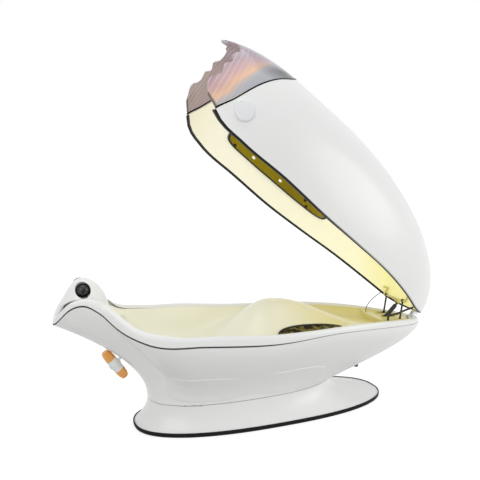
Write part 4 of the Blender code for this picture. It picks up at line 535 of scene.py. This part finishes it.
def hull_ring(share, inset):
    """The hull flares late at the head, early at the foot, and evenly along the sides."""
    low = waist_ring(inset, WAIST_Z)
    high = outline_ring(inset, lambda x: seam_z(x) - gasket_height(x) / 2)
    along = 2 * np.concatenate([SHARES, SHARES[-2:0:-1]]) - 1
    head = np.clip(-along, 0, 1) ** 2
    foot = np.clip(along, 0, 1) ** 2
    ends = head * share**HULL_END_POWER + foot * (1 - (1 - share) ** HULL_END_POWER)
    out = ends + (1 - head - foot) * share**2 * (3 - 2 * share)
    ring = low + (high - low) * out[:, None]
    ring[:, 2] = low[:, 2] + (high[:, 2] - low[:, 2]) * share
    return ring


def lid_rim_z(x):
    tail = np.clip((np.asarray(x) - LID_TAIL_START_X) / LID_TAIL_LENGTH, 0, None)
    head = np.clip((LID_LIFT_START_X - np.asarray(x)) / LID_LIFT_LENGTH, 0, 1)
    return crest_z(x) + LID_CLEARANCE + LID_TAIL_RISE * tail**2 + LID_HEAD_LIFT * head**2


def lid_crown_z(x, inset):
    x = np.asarray(x, float)
    foot_tip = LID_FOOT_X - inset
    base = float(lid_rim_z(LID_FOOT_X))
    back = np.clip((x - LID_TOP_X) / (foot_tip - LID_TOP_X), 0, 1)
    front = np.clip((LID_TOP_X - x) / (LID_TOP_X - LID_HOOD_TIP_X), 0, None)
    behind = base + (LID_TOP_Z - inset - base) * (1 - back**LID_BACK_POWER) ** (1 / LID_BACK_POWER)
    ahead = LID_TOP_Z - inset + LID_HOOD_RISE * front - LID_HOOD_FALL * front**LID_HOOD_POWER
    return np.where(x > LID_TOP_X, behind, ahead)


def lid_point(x, angle, inset=0.0):
    """A point of the closed lid, at an angle across its arch from the near rim to the far one."""
    wide = half_width(x, inset, LID_FOOT_X + (FOOT_DRAW_IN - 1) * inset, LID_NECK_HALF_WIDTH)
    rim = lid_rim_z(x)
    crown = np.maximum(lid_crown_z(x, inset), rim + LID_LEAST_RISE)
    y = -np.sign(np.cos(angle)) * wide * np.abs(np.cos(angle)) ** (2 / LID_ARCH_POWER)
    z = rim + (crown - rim) * np.abs(np.sin(angle)) ** (2 / LID_ARCH_POWER)
    return np.stack(np.broadcast_arrays(x, y, z), -1)


def hood_seam_x(angle):
    return hood_seam(np.minimum(angle, pi - angle))


# Angles across the arch, closer together at the rims, where it turns fast
ARCH = np.linspace(0, pi, ARCH_STEPS + 1)
ARCH = ARCH - ARCH_CROWDING * np.sin(2 * ARCH) / 2


def lid_grid(inset, start_shift):
    share = np.sin(np.linspace(0, pi / 2, LID_ROWS))[:, None]
    start = hood_seam_x(ARCH)[None, :] + start_shift
    end = LID_FOOT_X - inset - LID_END_GAP
    x = start + (end - start) * share
    return lid_point(x, np.broadcast_to(ARCH, x.shape), inset)


def opened(points):
    """Points of the closed lid, turned up to where the open lid stands."""
    points = np.array(points, float)
    x, z = points[..., 0] - HINGE_X, points[..., 2] - HINGE_Z
    points[..., 0] = HINGE_X + x * cos(LID_OPEN) + z * sin(LID_OPEN)
    points[..., 2] = HINGE_Z - x * sin(LID_OPEN) + z * cos(LID_OPEN)
    return points


def lip_half_width(x, gap=LINER_EDGE_GAP):
    return half_width(x, DECK_LIP) - gap


def tub_grid(x_from, x_to, rows, across, height):
    x = np.linspace(x_from, x_to, rows)[:, None]
    y = across * lip_half_width(x)
    x = np.broadcast_to(x, y.shape)
    return np.stack([x, y, height(x, y)], -1)


def shares_across(count):
    """Shares of the half width from side to side, closer together at the edges."""
    return np.sin(np.linspace(-pi / 2, pi / 2, count))


def bed_z(x, y):
    wide = half_width(x, DECK_LIP + GAP)
    across = np.clip(np.abs(y) / wide, 0, 1)
    edge = crest_z(x) - LINER_DROP
    floor = bed_spine_z(x)
    length = np.where(x < KNEE_X, KNEE_HEAD_LENGTH, KNEE_FOOT_LENGTH)
    hump = KNEE_RISE * np.exp(-(((x - KNEE_X) / length) ** 2)) * np.exp(-((y / KNEE_WIDTH) ** 2))
    return floor + (edge - floor) * across**BED_EDGE_POWER + hump * (1 - across**KNEE_EDGE_POWER)


# Mesh helpers

SHARP_ANGLE = radians(40)
BOX_FACES = [(0, 1, 3, 2), (4, 6, 7, 5), (0, 4, 5, 1), (2, 3, 7, 6), (0, 2, 6, 4), (1, 5, 7, 3)]


def make(name, points, faces, look, body, *nodes, maps=None):
    mesh = bpy.data.meshes.new(name)
    mesh.from_pydata([tuple(p) for p in np.asarray(points, float)], [], faces)
    corners = np.array([loop.vertex_index for loop in mesh.loops])
    for key, values in (maps or {}).items():
        layer = mesh.uv_layers.new(name=key)
        layer.data.foreach_set("uv", np.asarray(values, np.float32)[corners].ravel())
    shape = bmesh.new()
    shape.from_mesh(mesh)
    bmesh.ops.recalc_face_normals(shape, faces=shape.faces)
    shape.to_mesh(mesh)
    shape.free()
    mesh.shade_smooth()
    mesh.set_sharp_from_angle(angle=SHARP_ANGLE)
    piece = put(name, mesh)
    if look is not None:
        mesh.materials.append(look.material)
    if body is not None:
        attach(piece, body)
    if nodes:
        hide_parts(*nodes)
    return piece


def ring_faces(rings, around):
    """Faces between rings of points, and from the last ring back to the first."""
    faces = []
    for k in range(rings):
        here, there = k * around, (k + 1) % rings * around
        for j in range(around):
            faces.append((here + j, here + (j + 1) % around, there + (j + 1) % around, there + j))
    return faces


def tube_faces(rings, around):
    """Faces between rings of points, with a cap at each end."""
    last = (rings - 1) * around
    return ring_faces(rings, around)[:last] + [tuple(range(around)), tuple(range(last, last + around))]


def ring_solid(name, rings, look, body, *nodes):
    return make(name, np.concatenate(rings), ring_faces(len(rings), len(rings[0])), look, body, *nodes)


def sheet_solid(name, upper, lower, look, body, *nodes, maps=None):
    under = upper.shape[0] * upper.shape[1]
    at = np.arange(under).reshape(upper.shape[:2])
    faces = []
    for quad in np.stack([at[:-1, :-1], at[:-1, 1:], at[1:, 1:], at[1:, :-1]], -1).reshape(-1, 4).tolist():
        faces += [quad, [under + corner for corner in reversed(quad)]]
    rim = np.concatenate([at[0], at[1:, -1], at[-1, -2::-1], at[-2:0:-1, 0]]).tolist()
    for here, there in zip(rim, rim[1:] + rim[:1]):
        faces.append((here, under + here, under + there, there))
    points = np.concatenate([upper.reshape(-1, 3), lower.reshape(-1, 3)])
    return make(name, points, faces, look, body, *nodes, maps=maps)


def turned(name, base, axis, section, look, body, *nodes, sides=64, hollow=False):
    """A turned piece from pairs of distance along the axis and radius."""
    axis = Vector(axis).normalized()
    across = axis.orthogonal().normalized()
    along = axis.cross(across)
    angles = [2 * pi * k / sides for k in range(sides)]
    points = []
    for distance, radius in section:
        middle = Vector(base) + axis * distance
        points += [tuple(middle + radius * (cos(a) * across + sin(a) * along)) for a in angles]
    faces = ring_faces(len(section), sides) if hollow else tube_faces(len(section), sides)
    return make(name, points, faces, look, body, *nodes)


def cord_ring(middle, radius, first, second, sides):
    turns = 2 * pi * np.arange(sides) / sides
    return middle + radius * (np.outer(np.cos(turns), first) + np.outer(np.sin(turns), second))


def cut(piece, other):
    step = piece.modifiers.new("cut", "BOOLEAN")
    step.operation = "DIFFERENCE"
    step.object = other
    step.solver = "EXACT"
    bpy.context.view_layer.update()
    seen = piece.evaluated_get(bpy.context.evaluated_depsgraph_get())
    result = bpy.data.meshes.new_from_object(seen)
    piece.modifiers.remove(step)
    piece.data = result
    result.shade_smooth()
    result.set_sharp_from_angle(angle=SHARP_ANGLE)
    bpy.data.objects.remove(other)


def grid_surface(grid, seconds):
    """Points of a grid by their x and by a second value that runs along the columns."""
    rows = np.arange(grid.shape[0])
    columns = np.arange(grid.shape[1])

    def surface(x, second):
        x, second = np.broadcast_arrays(np.atleast_1d(x), np.atleast_1d(second))
        points = []
        for one_x, one_second in zip(x.ravel(), second.ravel()):
            column = np.interp(one_second, seconds, columns)
            j = min(int(column), len(columns) - 2)
            line = grid[:, j] + (column - j) * (grid[:, j + 1] - grid[:, j])
            row = np.interp(one_x, line[:, 0], rows)
            i = min(int(row), len(rows) - 2)
            points.append(line[i] + (row - i) * (line[i + 1] - line[i]))
        return np.array(points).reshape(*x.shape, 3)

    return surface


# A patch of a surface: a superellipse about middle, raised towards a point
PATCH_SIDES, ELLIPSE = 96, 2.0
Patch = namedtuple("Patch", "surface middle halves power towards sides", defaults=(PATCH_SIDES,))
SLOPE_STEP, FAR_OUT, ABOVE = 0.02, 9.0, 5


def lifted(surface, x, second, raise_by, towards):
    along = surface(x + SLOPE_STEP, second) - surface(x - SLOPE_STEP, second)
    across = surface(x, second + SLOPE_STEP) - surface(x, second - SLOPE_STEP)
    normal = unit(np.cross(along, across))
    points = surface(x, second)
    facing = np.sign(np.sum((towards - points) * normal, -1, keepdims=True))
    return points + raise_by * facing * normal


def patch_ring(patch, share, raise_by):
    """A ring at a share of the patch's half size, raised off the surface."""
    angle = np.linspace(0, 2 * pi, patch.sides, endpoint=False) + pi / patch.sides
    u = share * patch.halves[0] * np.sign(np.cos(angle)) * np.abs(np.cos(angle)) ** (2 / patch.power)
    v = share * patch.halves[1] * np.sign(np.sin(angle)) * np.abs(np.sin(angle)) ** (2 / patch.power)
    return lifted(patch.surface, patch.middle[0] + u, patch.middle[1] + v, raise_by, patch.towards)


def level(steps, height):
    return [(step, height) for step in steps]


def scaled(rows, height):
    return [(share, lift * height) for share, lift in rows]


def patch_disc(name, patch, upper, lower, look, body, *nodes, turn=None):
    """A disc on a patch, from the rings of its upper and lower side, each listed from the edge inwards."""
    rings = [patch_ring(patch, *pair) for pair in (*upper, *reversed(lower))]
    around = len(rings[0])
    inmost = len(upper) - 1
    faces = ring_faces(len(rings), around)
    faces = faces[: inmost * around] + faces[(inmost + 1) * around :]
    faces.append(tuple(inmost * around + j for j in range(around)))
    faces.append(tuple((inmost + 1) * around + j for j in range(around)))
    points = np.concatenate(rings)
    return make(name, points if turn is None else turn(points), faces, look, body, *nodes)


# Pedestal, hull and deck

ring_solid("floor_trim_skin", [floor_ring(*pair) for pair in TRIM_SECTION], rubber, "pod", "floor_trim")

levels = np.linspace(0, 1, PLINTH_LEVELS)
rings = [plinth_ring(s, PLINTH_INSET) for s in levels] + [plinth_ring(s, SHELL_WALL) for s in levels[::-1]]
for ring in rings[len(levels) - 1 : len(levels) + 1]:
    notch = np.clip(1 - np.abs(ring[:, 0] - NOTCH_X) / NOTCH_HALF_LENGTH, 0, 1)
    on_near_side = np.where(ring[:, 1] < 0, np.minimum(1, NOTCH_SLOPE * notch), 0)
    ring[:, 2] -= PLINTH_TOP_DROP + NOTCH_DEPTH * on_near_side
ring_solid("plinth_skin", rings, white, "pod", "base_plinth")

levels = np.linspace(0, 1, HULL_LEVELS)
hull_outer = [hull_ring(s, 0.0) for s in levels]
hull_inner = [hull_ring(s, SHELL_WALL) for s in levels[::-1]]
ring_solid("hull_skin", hull_outer + hull_inner, white, "pod", "lower_hull")


def gasket_ring(inset, side):
    return outline_ring(inset, lambda x: seam_z(x) + side * (gasket_height(x) / 2 - GASKET_CLEARANCE))


ring_solid("seam_gasket", [gasket_ring(*pair) for pair in GASKET_SECTION], seam, "pod", "hull_gasket")


def lip_share(x):
    """The deck's inner lip drops less round the console."""
    return LIP_LEAST + (1 - LIP_LEAST) * eased(x, LIP_EASE_X, LIP_EASE_LENGTH)


def deck_ring(inset, share, drop):
    def height(x):
        low = seam_z(x) + gasket_height(x) / 2
        return low + (crest_z(x) - low) * share - drop * lip_share(x)

    return outline_ring(max(inset, 0.0), height)


count = len(DECK_TOP)
deck_top = line_through(np.arange(count), DECK_TOP, np.linspace(0, count - 1, DECK_STEPS * (count - 1) + 1))
rings = [deck_ring(*row) for row in (*deck_top, *DECK_BACK)]
deck = ring_solid("deck_skin", rings, white, "pod", "deck_rim")
cut(deck, make("hinge_slot", list(product(*HINGE_SLOT)), BOX_FACES, None, None))


def hull_side(ring, side):
    far = np.vstack([ring[:1], ring[: STATIONS - 2 : -1]])
    return ring[:STATIONS] if side == "near" else far


for side, sign in SIDES:
    surface = grid_surface(np.stack([hull_side(ring, side) for ring in hull_outer], 1), levels)
    outside = (PANEL_X, FAR_OUT * sign, WAIST_Z)
    patch = Patch(surface, (PANEL_X, PANEL_LEVEL), PANEL_HALVES, PANEL_POWER, outside)
    upper = [*PANEL_EDGE, *level(PANEL_STEPS, PANEL_RAISE)]
    lower = level(PANEL_BACK_STEPS, PANEL_BACK)
    patch_disc("service_panel_" + side, patch, upper, lower, panel_white, "pod", "side_panel_" + side)

# Bed, foot deck and pad

across = shares_across(BED_COLUMNS)
bed = tub_grid(LINER_HEAD_X, LINER_FOOT_X, BED_ROWS, across, bed_z)
along = np.gradient(bed[..., 2], bed[:, 0, 0], axis=0)
sideways = np.gradient(bed[..., 2], axis=1) / np.gradient(bed[..., 1], axis=1)
under = bed.copy()
under[..., 2] -= LINER_WALL * np.minimum(np.sqrt(1 + along**2 + sideways**2), LINER_STEEPEST)
sheet_solid("bed_skin", bed, under, cream, "pod", "tub_liner")
bed_surface = grid_surface(bed, across)


def heater(name, patch, band, face, body, turn=None):
    """A heater's frame, an even band along its edge, and the plate that it holds."""
    inner = patch._replace(halves=(patch.halves[0] - band[0], patch.halves[1] - band[1]))
    seat = (1.0, HEATER_SEAT)
    rings = [patch_ring(patch, *pair) for pair in (seat, *scaled(FRAME_OUTER, HEATER_RAISE))]
    rings += [patch_ring(inner, *pair) for pair in (*scaled(FRAME_INNER, HEATER_RAISE), seat)]
    points = np.concatenate(rings)
    points = points if turn is None else turn(points)
    make(name + "_surround", points, ring_faces(len(rings), patch.sides), black, body, name + "_frame")
    upper, lower = level(PLATE_STEPS, PLATE_RAISE), level(PLATE_STEPS, PLATE_SEAT)
    patch_disc(name + "_panel", inner, upper, lower, face, body, name + "_plate", turn=turn)


for side, sign in SIDES:
    middle, above = (BED_HEATER_X, sign * BED_HEATER_ACROSS), (BED_HEATER_X, 0, ABOVE)
    patch = Patch(bed_surface, middle, BED_HEATER_HALVES, BED_HEATER_POWER, above, BED_HEATER_SIDES)
    heater("leg_heater_" + side, patch, BED_HEATER_BAND, ember, "pod")


def foot_deck_z(x, y):
    share = (x - LINER_FOOT_X) / (FOOT_DECK_END_X - LINER_FOOT_X)
    middle = FOOT_DECK_Z - FOOT_DECK_FALL * share
    edge = crest_z(x) - LINER_DROP
    return middle + (edge - middle) * np.clip(np.abs(y) / lip_half_width(x), 0, 1) ** FOOT_DECK_POWER


def slot_ring(x_from, x_to, y, half, grow, height):
    angle = np.linspace(0, 2 * pi, SLOT_SIDES, endpoint=False) + pi / SLOT_SIDES
    reach = (x_to - x_from) / 2 - half
    x = (x_from + x_to) / 2 + np.sign(np.cos(angle)) * reach + (half + grow) * np.cos(angle)
    across = y + (half + grow) * np.sin(angle)
    return np.stack([x, across, foot_deck_z(x, across) + height], 1)


across = shares_across(FOOT_DECK_COLUMNS)
top = tub_grid(LINER_FOOT_X + GAP, FOOT_DECK_END_X, FOOT_DECK_ROWS, across, foot_deck_z)
skirt = top[:1] * (1, SKIRT_SHARE, 0) + (0, 0, SKIRT_Z)
upper = np.concatenate([skirt, top])
lower = upper.copy()
lower[2:, :, 2] -= FOOT_DECK_WALL
lower[:2, :, 0] += FOOT_DECK_WALL
lower[1, :, 2] -= FOOT_DECK_WALL
foot_deck = sheet_solid("foot_deck_skin", upper, lower, cream, "pod", "foot_deck")
slots = [("strut_boot_" + side, *STRUT_SLOT_X, sign * STRUT_Y, STRUT_SLOT_HALF) for side, sign in SIDES]
for name, *slot in (*slots, ("actuator_boot", *RAM_SLOT_X, 0.0, RAM_SLOT_HALF)):
    rings = np.concatenate([slot_ring(*slot, 0, -SLOT_CUT), slot_ring(*slot, 0, SLOT_CUT)])
    cut(foot_deck, make("slot", rings, tube_faces(2, SLOT_SIDES), None, None))
    ring_solid(name + "_collar", [slot_ring(*slot, *pair) for pair in COLLAR_SECTION], cream, "pod", name)


# Headrest pad: a crowned cushion, swollen by a short cloth run

def swell(piece):
    """Let air pressure swell the pad a little, apart from its underside."""
    start = np.array([v.co for v in piece.data.vertices])
    cloth = piece.modifiers.new("cloth", "CLOTH")
    cloth.settings.use_pressure = True
    cloth.settings.uniform_pressure_force = CLOTH_PRESSURE
    cloth.settings.effector_weights.gravity = 0.0
    cloth.settings.tension_stiffness = CLOTH_STIFFNESS
    cloth.settings.compression_stiffness = CLOTH_STIFFNESS
    for step in range(1, CLOTH_FRAMES + 1):
        scene.frame_set(step)
    seen = piece.evaluated_get(bpy.context.evaluated_depsgraph_get())
    move = np.array([v.co for v in seen.data.vertices]) - start
    piece.modifiers.remove(cloth)
    scene.frame_set(1)
    reach = np.linalg.norm(move, axis=1, keepdims=True)
    move *= np.minimum(1.0, MOST_SWELL / np.maximum(reach, LEAST_MOVE))
    facing = np.array([v.normal for v in piece.data.vertices])
    flat = (facing[:, 2] < DOWNWARD)[:, None]
    for vertex, place in zip(piece.data.vertices, start + np.where(flat, 0.0, move)):
        vertex.co = place


def pillow():
    patch = Patch(bed_surface, (PILLOW_X, 0.0), PILLOW_HALVES, PILLOW_POWER, (PILLOW_X, 0, ABOVE))
    upper, lower = scaled(PILLOW_CROWN, PILLOW_THICKNESS), scaled(PILLOW_UNDER, PILLOW_THICKNESS)
    piece = patch_disc("headrest_pad", patch, upper, lower, pad, None)
    bpy.context.view_layer.objects.active = piece
    swell(piece)
    piece.modifiers.new("smooth", "SUBSURF").levels = 1
    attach(piece, "pod")
    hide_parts("headrest_pillow")
    path = patch_ring(patch, PIPING_SHARE, PILLOW_EDGE * PILLOW_THICKNESS)
    rings = []
    for k in range(len(path)):
        ahead = unit(path[(k + 1) % len(path)] - path[k - 1])
        out = unit(np.cross(ahead, (0, 0, 1)))
        rings.append(cord_ring(path[k], PIPING_RADIUS, out, np.cross(out, ahead), PIPING_SIDES))
    ring_solid("headrest_piping", rings, pad, "pod")


pillow()


# Head console and vents

def console_z(x, y):
    ledge = crest_z(x) - CONSOLE_DROP
    dome = np.maximum(console_top_z(x) - ledge, LEAST_DOME)
    wide = np.minimum(CONSOLE_FLARE * console_half_width(x), lip_half_width(x, CONSOLE_EDGE_GAP))
    share = np.clip(np.abs(y) / wide, 0, 1)
    return ledge + dome * (1 - share**DOME_POWER) ** DOME_ROOT


start = HEAD_TIP_X + DECK_LIP + CONSOLE_FRONT_GAP
share = (1 - np.cos(np.linspace(0, pi, CONSOLE_ROWS))) / 2
x = (start + (CONSOLE_REAR_X - start) * share)[:, None]
outer = lip_half_width(x, CONSOLE_EDGE_GAP)
dome = np.minimum(CONSOLE_FLARE * console_half_width(x), DOME_LIMIT * outer)
half = [outer + (dome - outer) * step for step in CONSOLE_LEDGE]
half += [dome * step for step in 1 - np.linspace(0, 1, CONSOLE_COLUMNS)[:-1] ** DOME_CROWDING]
y = np.concatenate([-h for h in half] + [0 * dome] + half[::-1], 1)
x = np.broadcast_to(x, y.shape)
upper = np.stack([x, y, console_z(x, y)], -1)
lower = upper.copy()
lower[..., 1] *= (outer - CONSOLE_WALL) / outer
lower[..., 2] -= DOME_STEEPNESS * CONSOLE_WALL
console = sheet_solid("console_skin", upper, lower, white, "pod", "head_console")
for side, sign in SIDES:
    inward = (0, -sign, 0)
    depth = VENT_CUT_Y - VENT_FACE_Y + VENT_DEPTH + VENT_CUT_PAST
    hole = ((0, VENT_RADIUS + GAP), (depth, VENT_RADIUS + GAP))
    cut(console, turned("vent_hole", (VENT_X, sign * VENT_CUT_Y, VENT_Z), inward, hole, None, None))
    face = (VENT_X, sign * VENT_FACE_Y, VENT_Z)
    turned("vent_ring_" + side, face, inward, BEZEL_SECTION, black, "pod", "vent_bezel_" + side, hollow=True)
    middle = (VENT_X, sign * (VENT_FACE_Y - VENT_DEPTH / 2), VENT_Z)
    angles = np.linspace(BALL_END_ANGLE, pi - BALL_END_ANGLE, BALL_POINTS)
    bulge = [(-BALL_RADIUS * cos(a), BALL_RADIUS * sin(a)) for a in angles]
    bore = [(bulge[-1][0], NOZZLE_RADIUS), (bulge[0][0], NOZZLE_RADIUS)]
    ball = "vent_ball_" + side
    turned("vent_eye_" + side, middle, inward, bulge + bore, black, ball, ball, hollow=True)

# Lid

START = HOOD_TRIM_WIDTH / 2 + LID_EDGE_GAP
DEEP = LID_LINER_INSET + LID_LINER_WALL
shell_grid = lid_grid(0.0, START)
liner_grid = lid_grid(DEEP, START)
sheet_solid("lid_skin", opened(shell_grid), opened(lid_grid(LID_WALL, START)), white, "lid", "lid_shell")
sheet_solid("lid_inner_skin", opened(lid_grid(LID_LINER_INSET, START)), opened(liner_grid), lid_cream,
            "lid", "lid_liner")


def lid_strip(name, insets, below, height, look, node):
    def path(inset, drop):
        near = lid_grid(inset, START)[:, 0]
        far = near[::-1] * (1, -1, 1)
        return np.concatenate([near, far]) - (0, 0, drop)

    high = np.stack([path(inset, below) for inset in insets], 1)
    low = np.stack([path(inset, below + height) for inset in insets], 1)
    sheet_solid(name, opened(high), opened(low), look, "lid", node)


seal = (SEAL_INSET, SEAL_INSET + SEAL_WIDTH)
lid_strip("lid_rim_skin", (0.0, *seal, DEEP), GAP, RIM_BAND_HEIGHT, rim_band, "lid_rim_band")
lid_strip("lid_seal_skin", seal, RIM_BAND_HEIGHT + SEAL_GAP, SEAL_HEIGHT, rubber, "lid_seal")


def seam_arc(inset, shift, proud=0.0):
    points = lid_point(hood_seam_x(ARCH) + shift, ARCH, inset)
    points[:, 1] *= 1 + proud / HALF_WIDTH
    points[:, 2] += proud * np.sin(ARCH)
    return points


half = HOOD_TRIM_WIDTH / 2
high = np.stack([seam_arc(0.0, share * half, proud) for share, proud in HOOD_TRIM_SECTION], 1)
low = np.stack([seam_arc(LID_WALL, share * half) for share, proud in HOOD_TRIM_SECTION], 1)
sheet_solid("hood_trim_skin", opened(high), opened(low), rubber, "lid", "hood_trim")


def hood_grid(inset, side):
    """Hood points, with each one's distance from the seam and from the front edge for its finish."""
    back = hood_seam_x(ARCH) - HOOD_TRIM_WIDTH / 2 - HOOD_TRIM_GAP
    front = np.interp(np.minimum(ARCH, pi - ARCH), *np.array(HOOD_FRONT).T)
    x = front + (back - front) * np.linspace(0, 1, HOOD_ROWS)[:, None]
    angle = np.broadcast_to(ARCH, x.shape)
    from_seam = np.stack([(back - x) / HOOD_MAP_LENGTH, angle / pi], -1)
    from_front = np.stack([(x - HOOD_FRONT[-1][1]) / HOOD_MAP_LENGTH, np.full_like(x, side)], -1)
    return lid_point(x, angle, inset), from_seam, from_front


upper, *upper_maps = hood_grid(0.0, 0.0)
lower, *lower_maps = hood_grid(LID_WALL, 1.0)
maps = [np.concatenate([a.reshape(-1, 2), b.reshape(-1, 2)]) for a, b in zip(upper_maps, lower_maps)]
sheet_solid("hood_skin", opened(upper), opened(lower), hood_plastic, "lid", "hood",
            maps={"from_seam": maps[0], "from_front": maps[1]})

shell_surface = grid_surface(shell_grid, ARCH)
liner_surface = grid_surface(liner_grid, ARCH)


def arch_angle(side, angle):
    """An angle from the near rim, or the same angle from the far one."""
    return angle if side == "near" else pi - angle


for side, sign in SIDES:
    outside = (CAP_X, FAR_OUT * sign, LID_TOP_Z)
    middle = (CAP_X, arch_angle(side, CAP_ANGLE))
    patch = Patch(shell_surface, middle, CAP_HALVES, ELLIPSE, outside, CAP_SIDES)
    upper, lower = scaled(CAP_DOME, CAP_HEIGHT), level(CAP_BACK_STEPS, CAP_SEAT)
    patch_disc("side_cap_skin_" + side, patch, upper, lower, cap_white, "lid", "side_cap_" + side,
               turn=opened)
    middle = (CAP_PIN_X, arch_angle(side, CAP_PIN_ANGLE))
    patch = Patch(shell_surface, middle, CAP_PIN_HALVES, ELLIPSE, outside, CAP_PIN_SIDES)
    upper, lower = scaled(CAP_PIN_DOME, CAP_HEIGHT), scaled(CAP_PIN_BACK, CAP_HEIGHT)
    patch_disc("cap_pin_" + side, patch, upper, lower, steel, "lid", turn=opened)
    middle, below = (LID_HEATER_X, arch_angle(side, LID_HEATER_ANGLE)), (LID_HEATER_X, 0, HINGE_Z)
    patch = Patch(liner_surface, middle, LID_HEATER_HALVES, LID_HEATER_POWER, below)
    heater("lid_heater_" + side, patch, LID_HEATER_BAND, amber, "lid", opened)
    for end, lamp_x in LID_LAMPS:
        middle, below = (lamp_x, arch_angle(side, LID_LAMP_ANGLE)), (lamp_x, 0, HINGE_Z)
        patch = Patch(liner_surface, middle, LID_LAMP_HALVES, ELLIPSE, below, LAMP_SIDES)
        patch_disc("lid_lamp_" + side + "_" + end, patch, LAMP_DOME, LAMP_SEAT, lens, "lid", turn=opened)


# Cables that run down to the foot deck

def cable(name, stops, foot, radius, look, node):
    rest = float(foot_deck_z(*np.array(foot))) + CABLE_SEAT
    stops = np.array([*stops, (*foot, rest + CABLE_DROP), (*foot, rest)])
    measure = np.concatenate([[0], np.cumsum(np.linalg.norm(np.diff(stops, axis=0), axis=1))])
    path = line_through(measure, stops, np.linspace(0, measure[-1], CABLE_POINTS))
    heading = unit(np.gradient(path, axis=0))
    side = unit(np.cross(heading, (0, 1, 0)))
    frames = zip(path, side, np.cross(heading, side))
    rings = [cord_ring(p, radius, a, b, CABLE_SIDES) for p, a, b in frames]
    piece = make(name, np.concatenate(rings), tube_faces(len(rings), CABLE_SIDES), look, None, node)
    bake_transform(piece)


cable("cable_conduit", ((1.0035, -0.1345, 0.5645), (0.957, -0.120, 0.548), (0.895, -0.118, 0.530)),
      (0.836, -0.100), CONDUIT_RADIUS, black, "lid_cable_conduit")
cable("sensor_wire", ((0.957, 0.150, 0.6125), (0.90, 0.145, 0.585), (0.84, 0.138, 0.540)),
      (0.815, 0.125), WIRE_RADIUS, black, "sensor_lead")


# Studio: white floor that keeps the shadow, soft lights

FLOOR_REACH, FLOOR_GLOW, SKY_STRENGTH = 30, 0.68, 0.62
# Each lamp has a name, a place, a point that it faces, a size and a power
LAMPS = (("key", (-3.4, -3.4, 2.6), (-0.4, 0.0, 0.6), 3.6, 56),
         ("fill", (3.8, -2.6, 1.6), (0.8, 0.0, 0.2), 3.0, 56),
         ("top", (-0.6, 0.2, 4.6), (0.0, 0.0, 0.5), 3.4, 35))


def seen_directly(tree):
    """1 for the rays that show the background: the camera's own, and those in reflections and glass."""
    ray = tree.nodes.new("ShaderNodeLightPath")
    seen = ray.outputs["Is Camera Ray"]
    for kind in ("Is Glossy Ray", "Is Transmission Ray"):
        either = tree.nodes.new("ShaderNodeMath")
        either.operation = "MAXIMUM"
        tree.links.new(seen, either.inputs[0])
        tree.links.new(ray.outputs[kind], either.inputs[1])
        seen = either.outputs["Value"]
    return seen


def blend_shaders(tree, first, second, output):
    """The first shader for the light on the object, the second for what shows as background."""
    blend = tree.nodes.new("ShaderNodeMixShader")
    tree.links.new(seen_directly(tree), blend.inputs[0])
    tree.links.new(first.outputs[0], blend.inputs[1])
    tree.links.new(second.outputs[0], blend.inputs[2])
    tree.links.new(blend.outputs[0], tree.nodes[output].inputs["Surface"])


def studio():
    floor = Look("studio_floor", (0.52, 0.52, 0.51), 0.6)
    glow = floor.node("ShaderNodeEmission", Strength=FLOOR_GLOW)
    both = floor.node("ShaderNodeAddShader")
    floor.link(floor.shader.outputs[0], both.inputs[0])
    floor.link(glow.outputs[0], both.inputs[1])
    blend_shaders(floor.tree, floor.shader, both, "Material Output")
    mesh = bpy.data.meshes.new("studio_floor")
    corners = [(x * FLOOR_REACH, y * FLOOR_REACH, 0) for x, y in ((-1, -1), (1, -1), (1, 1), (-1, 1))]
    mesh.from_pydata(corners, [], [(0, 1, 2, 3)])
    mesh.materials.append(floor.material)
    plane = put("studio_floor", mesh)
    world = bpy.data.worlds.new("studio")
    scene.world = world
    world.use_nodes = True
    soft = world.node_tree.nodes["Background"]
    bright = world.node_tree.nodes.new("ShaderNodeBackground")
    for sky, colour, strength in ((soft, (0.95, 0.97, 1.0), SKY_STRENGTH), (bright, ON, 1.0)):
        sky.inputs["Color"].default_value = (*colour, 1.0)
        sky.inputs["Strength"].default_value = strength
    blend_shaders(world.node_tree, soft, bright, "World Output")
    for name, place, aim, size, watts in LAMPS:
        data = bpy.data.lights.new(name, "AREA")
        data.shape = "DISK"
        data.size = size
        data.energy = watts
        light = put(name, data)
        light.location = place
        light.rotation_euler = (Vector(aim) - Vector(place)).to_track_quat("-Z", "Y").to_euler()


studio()
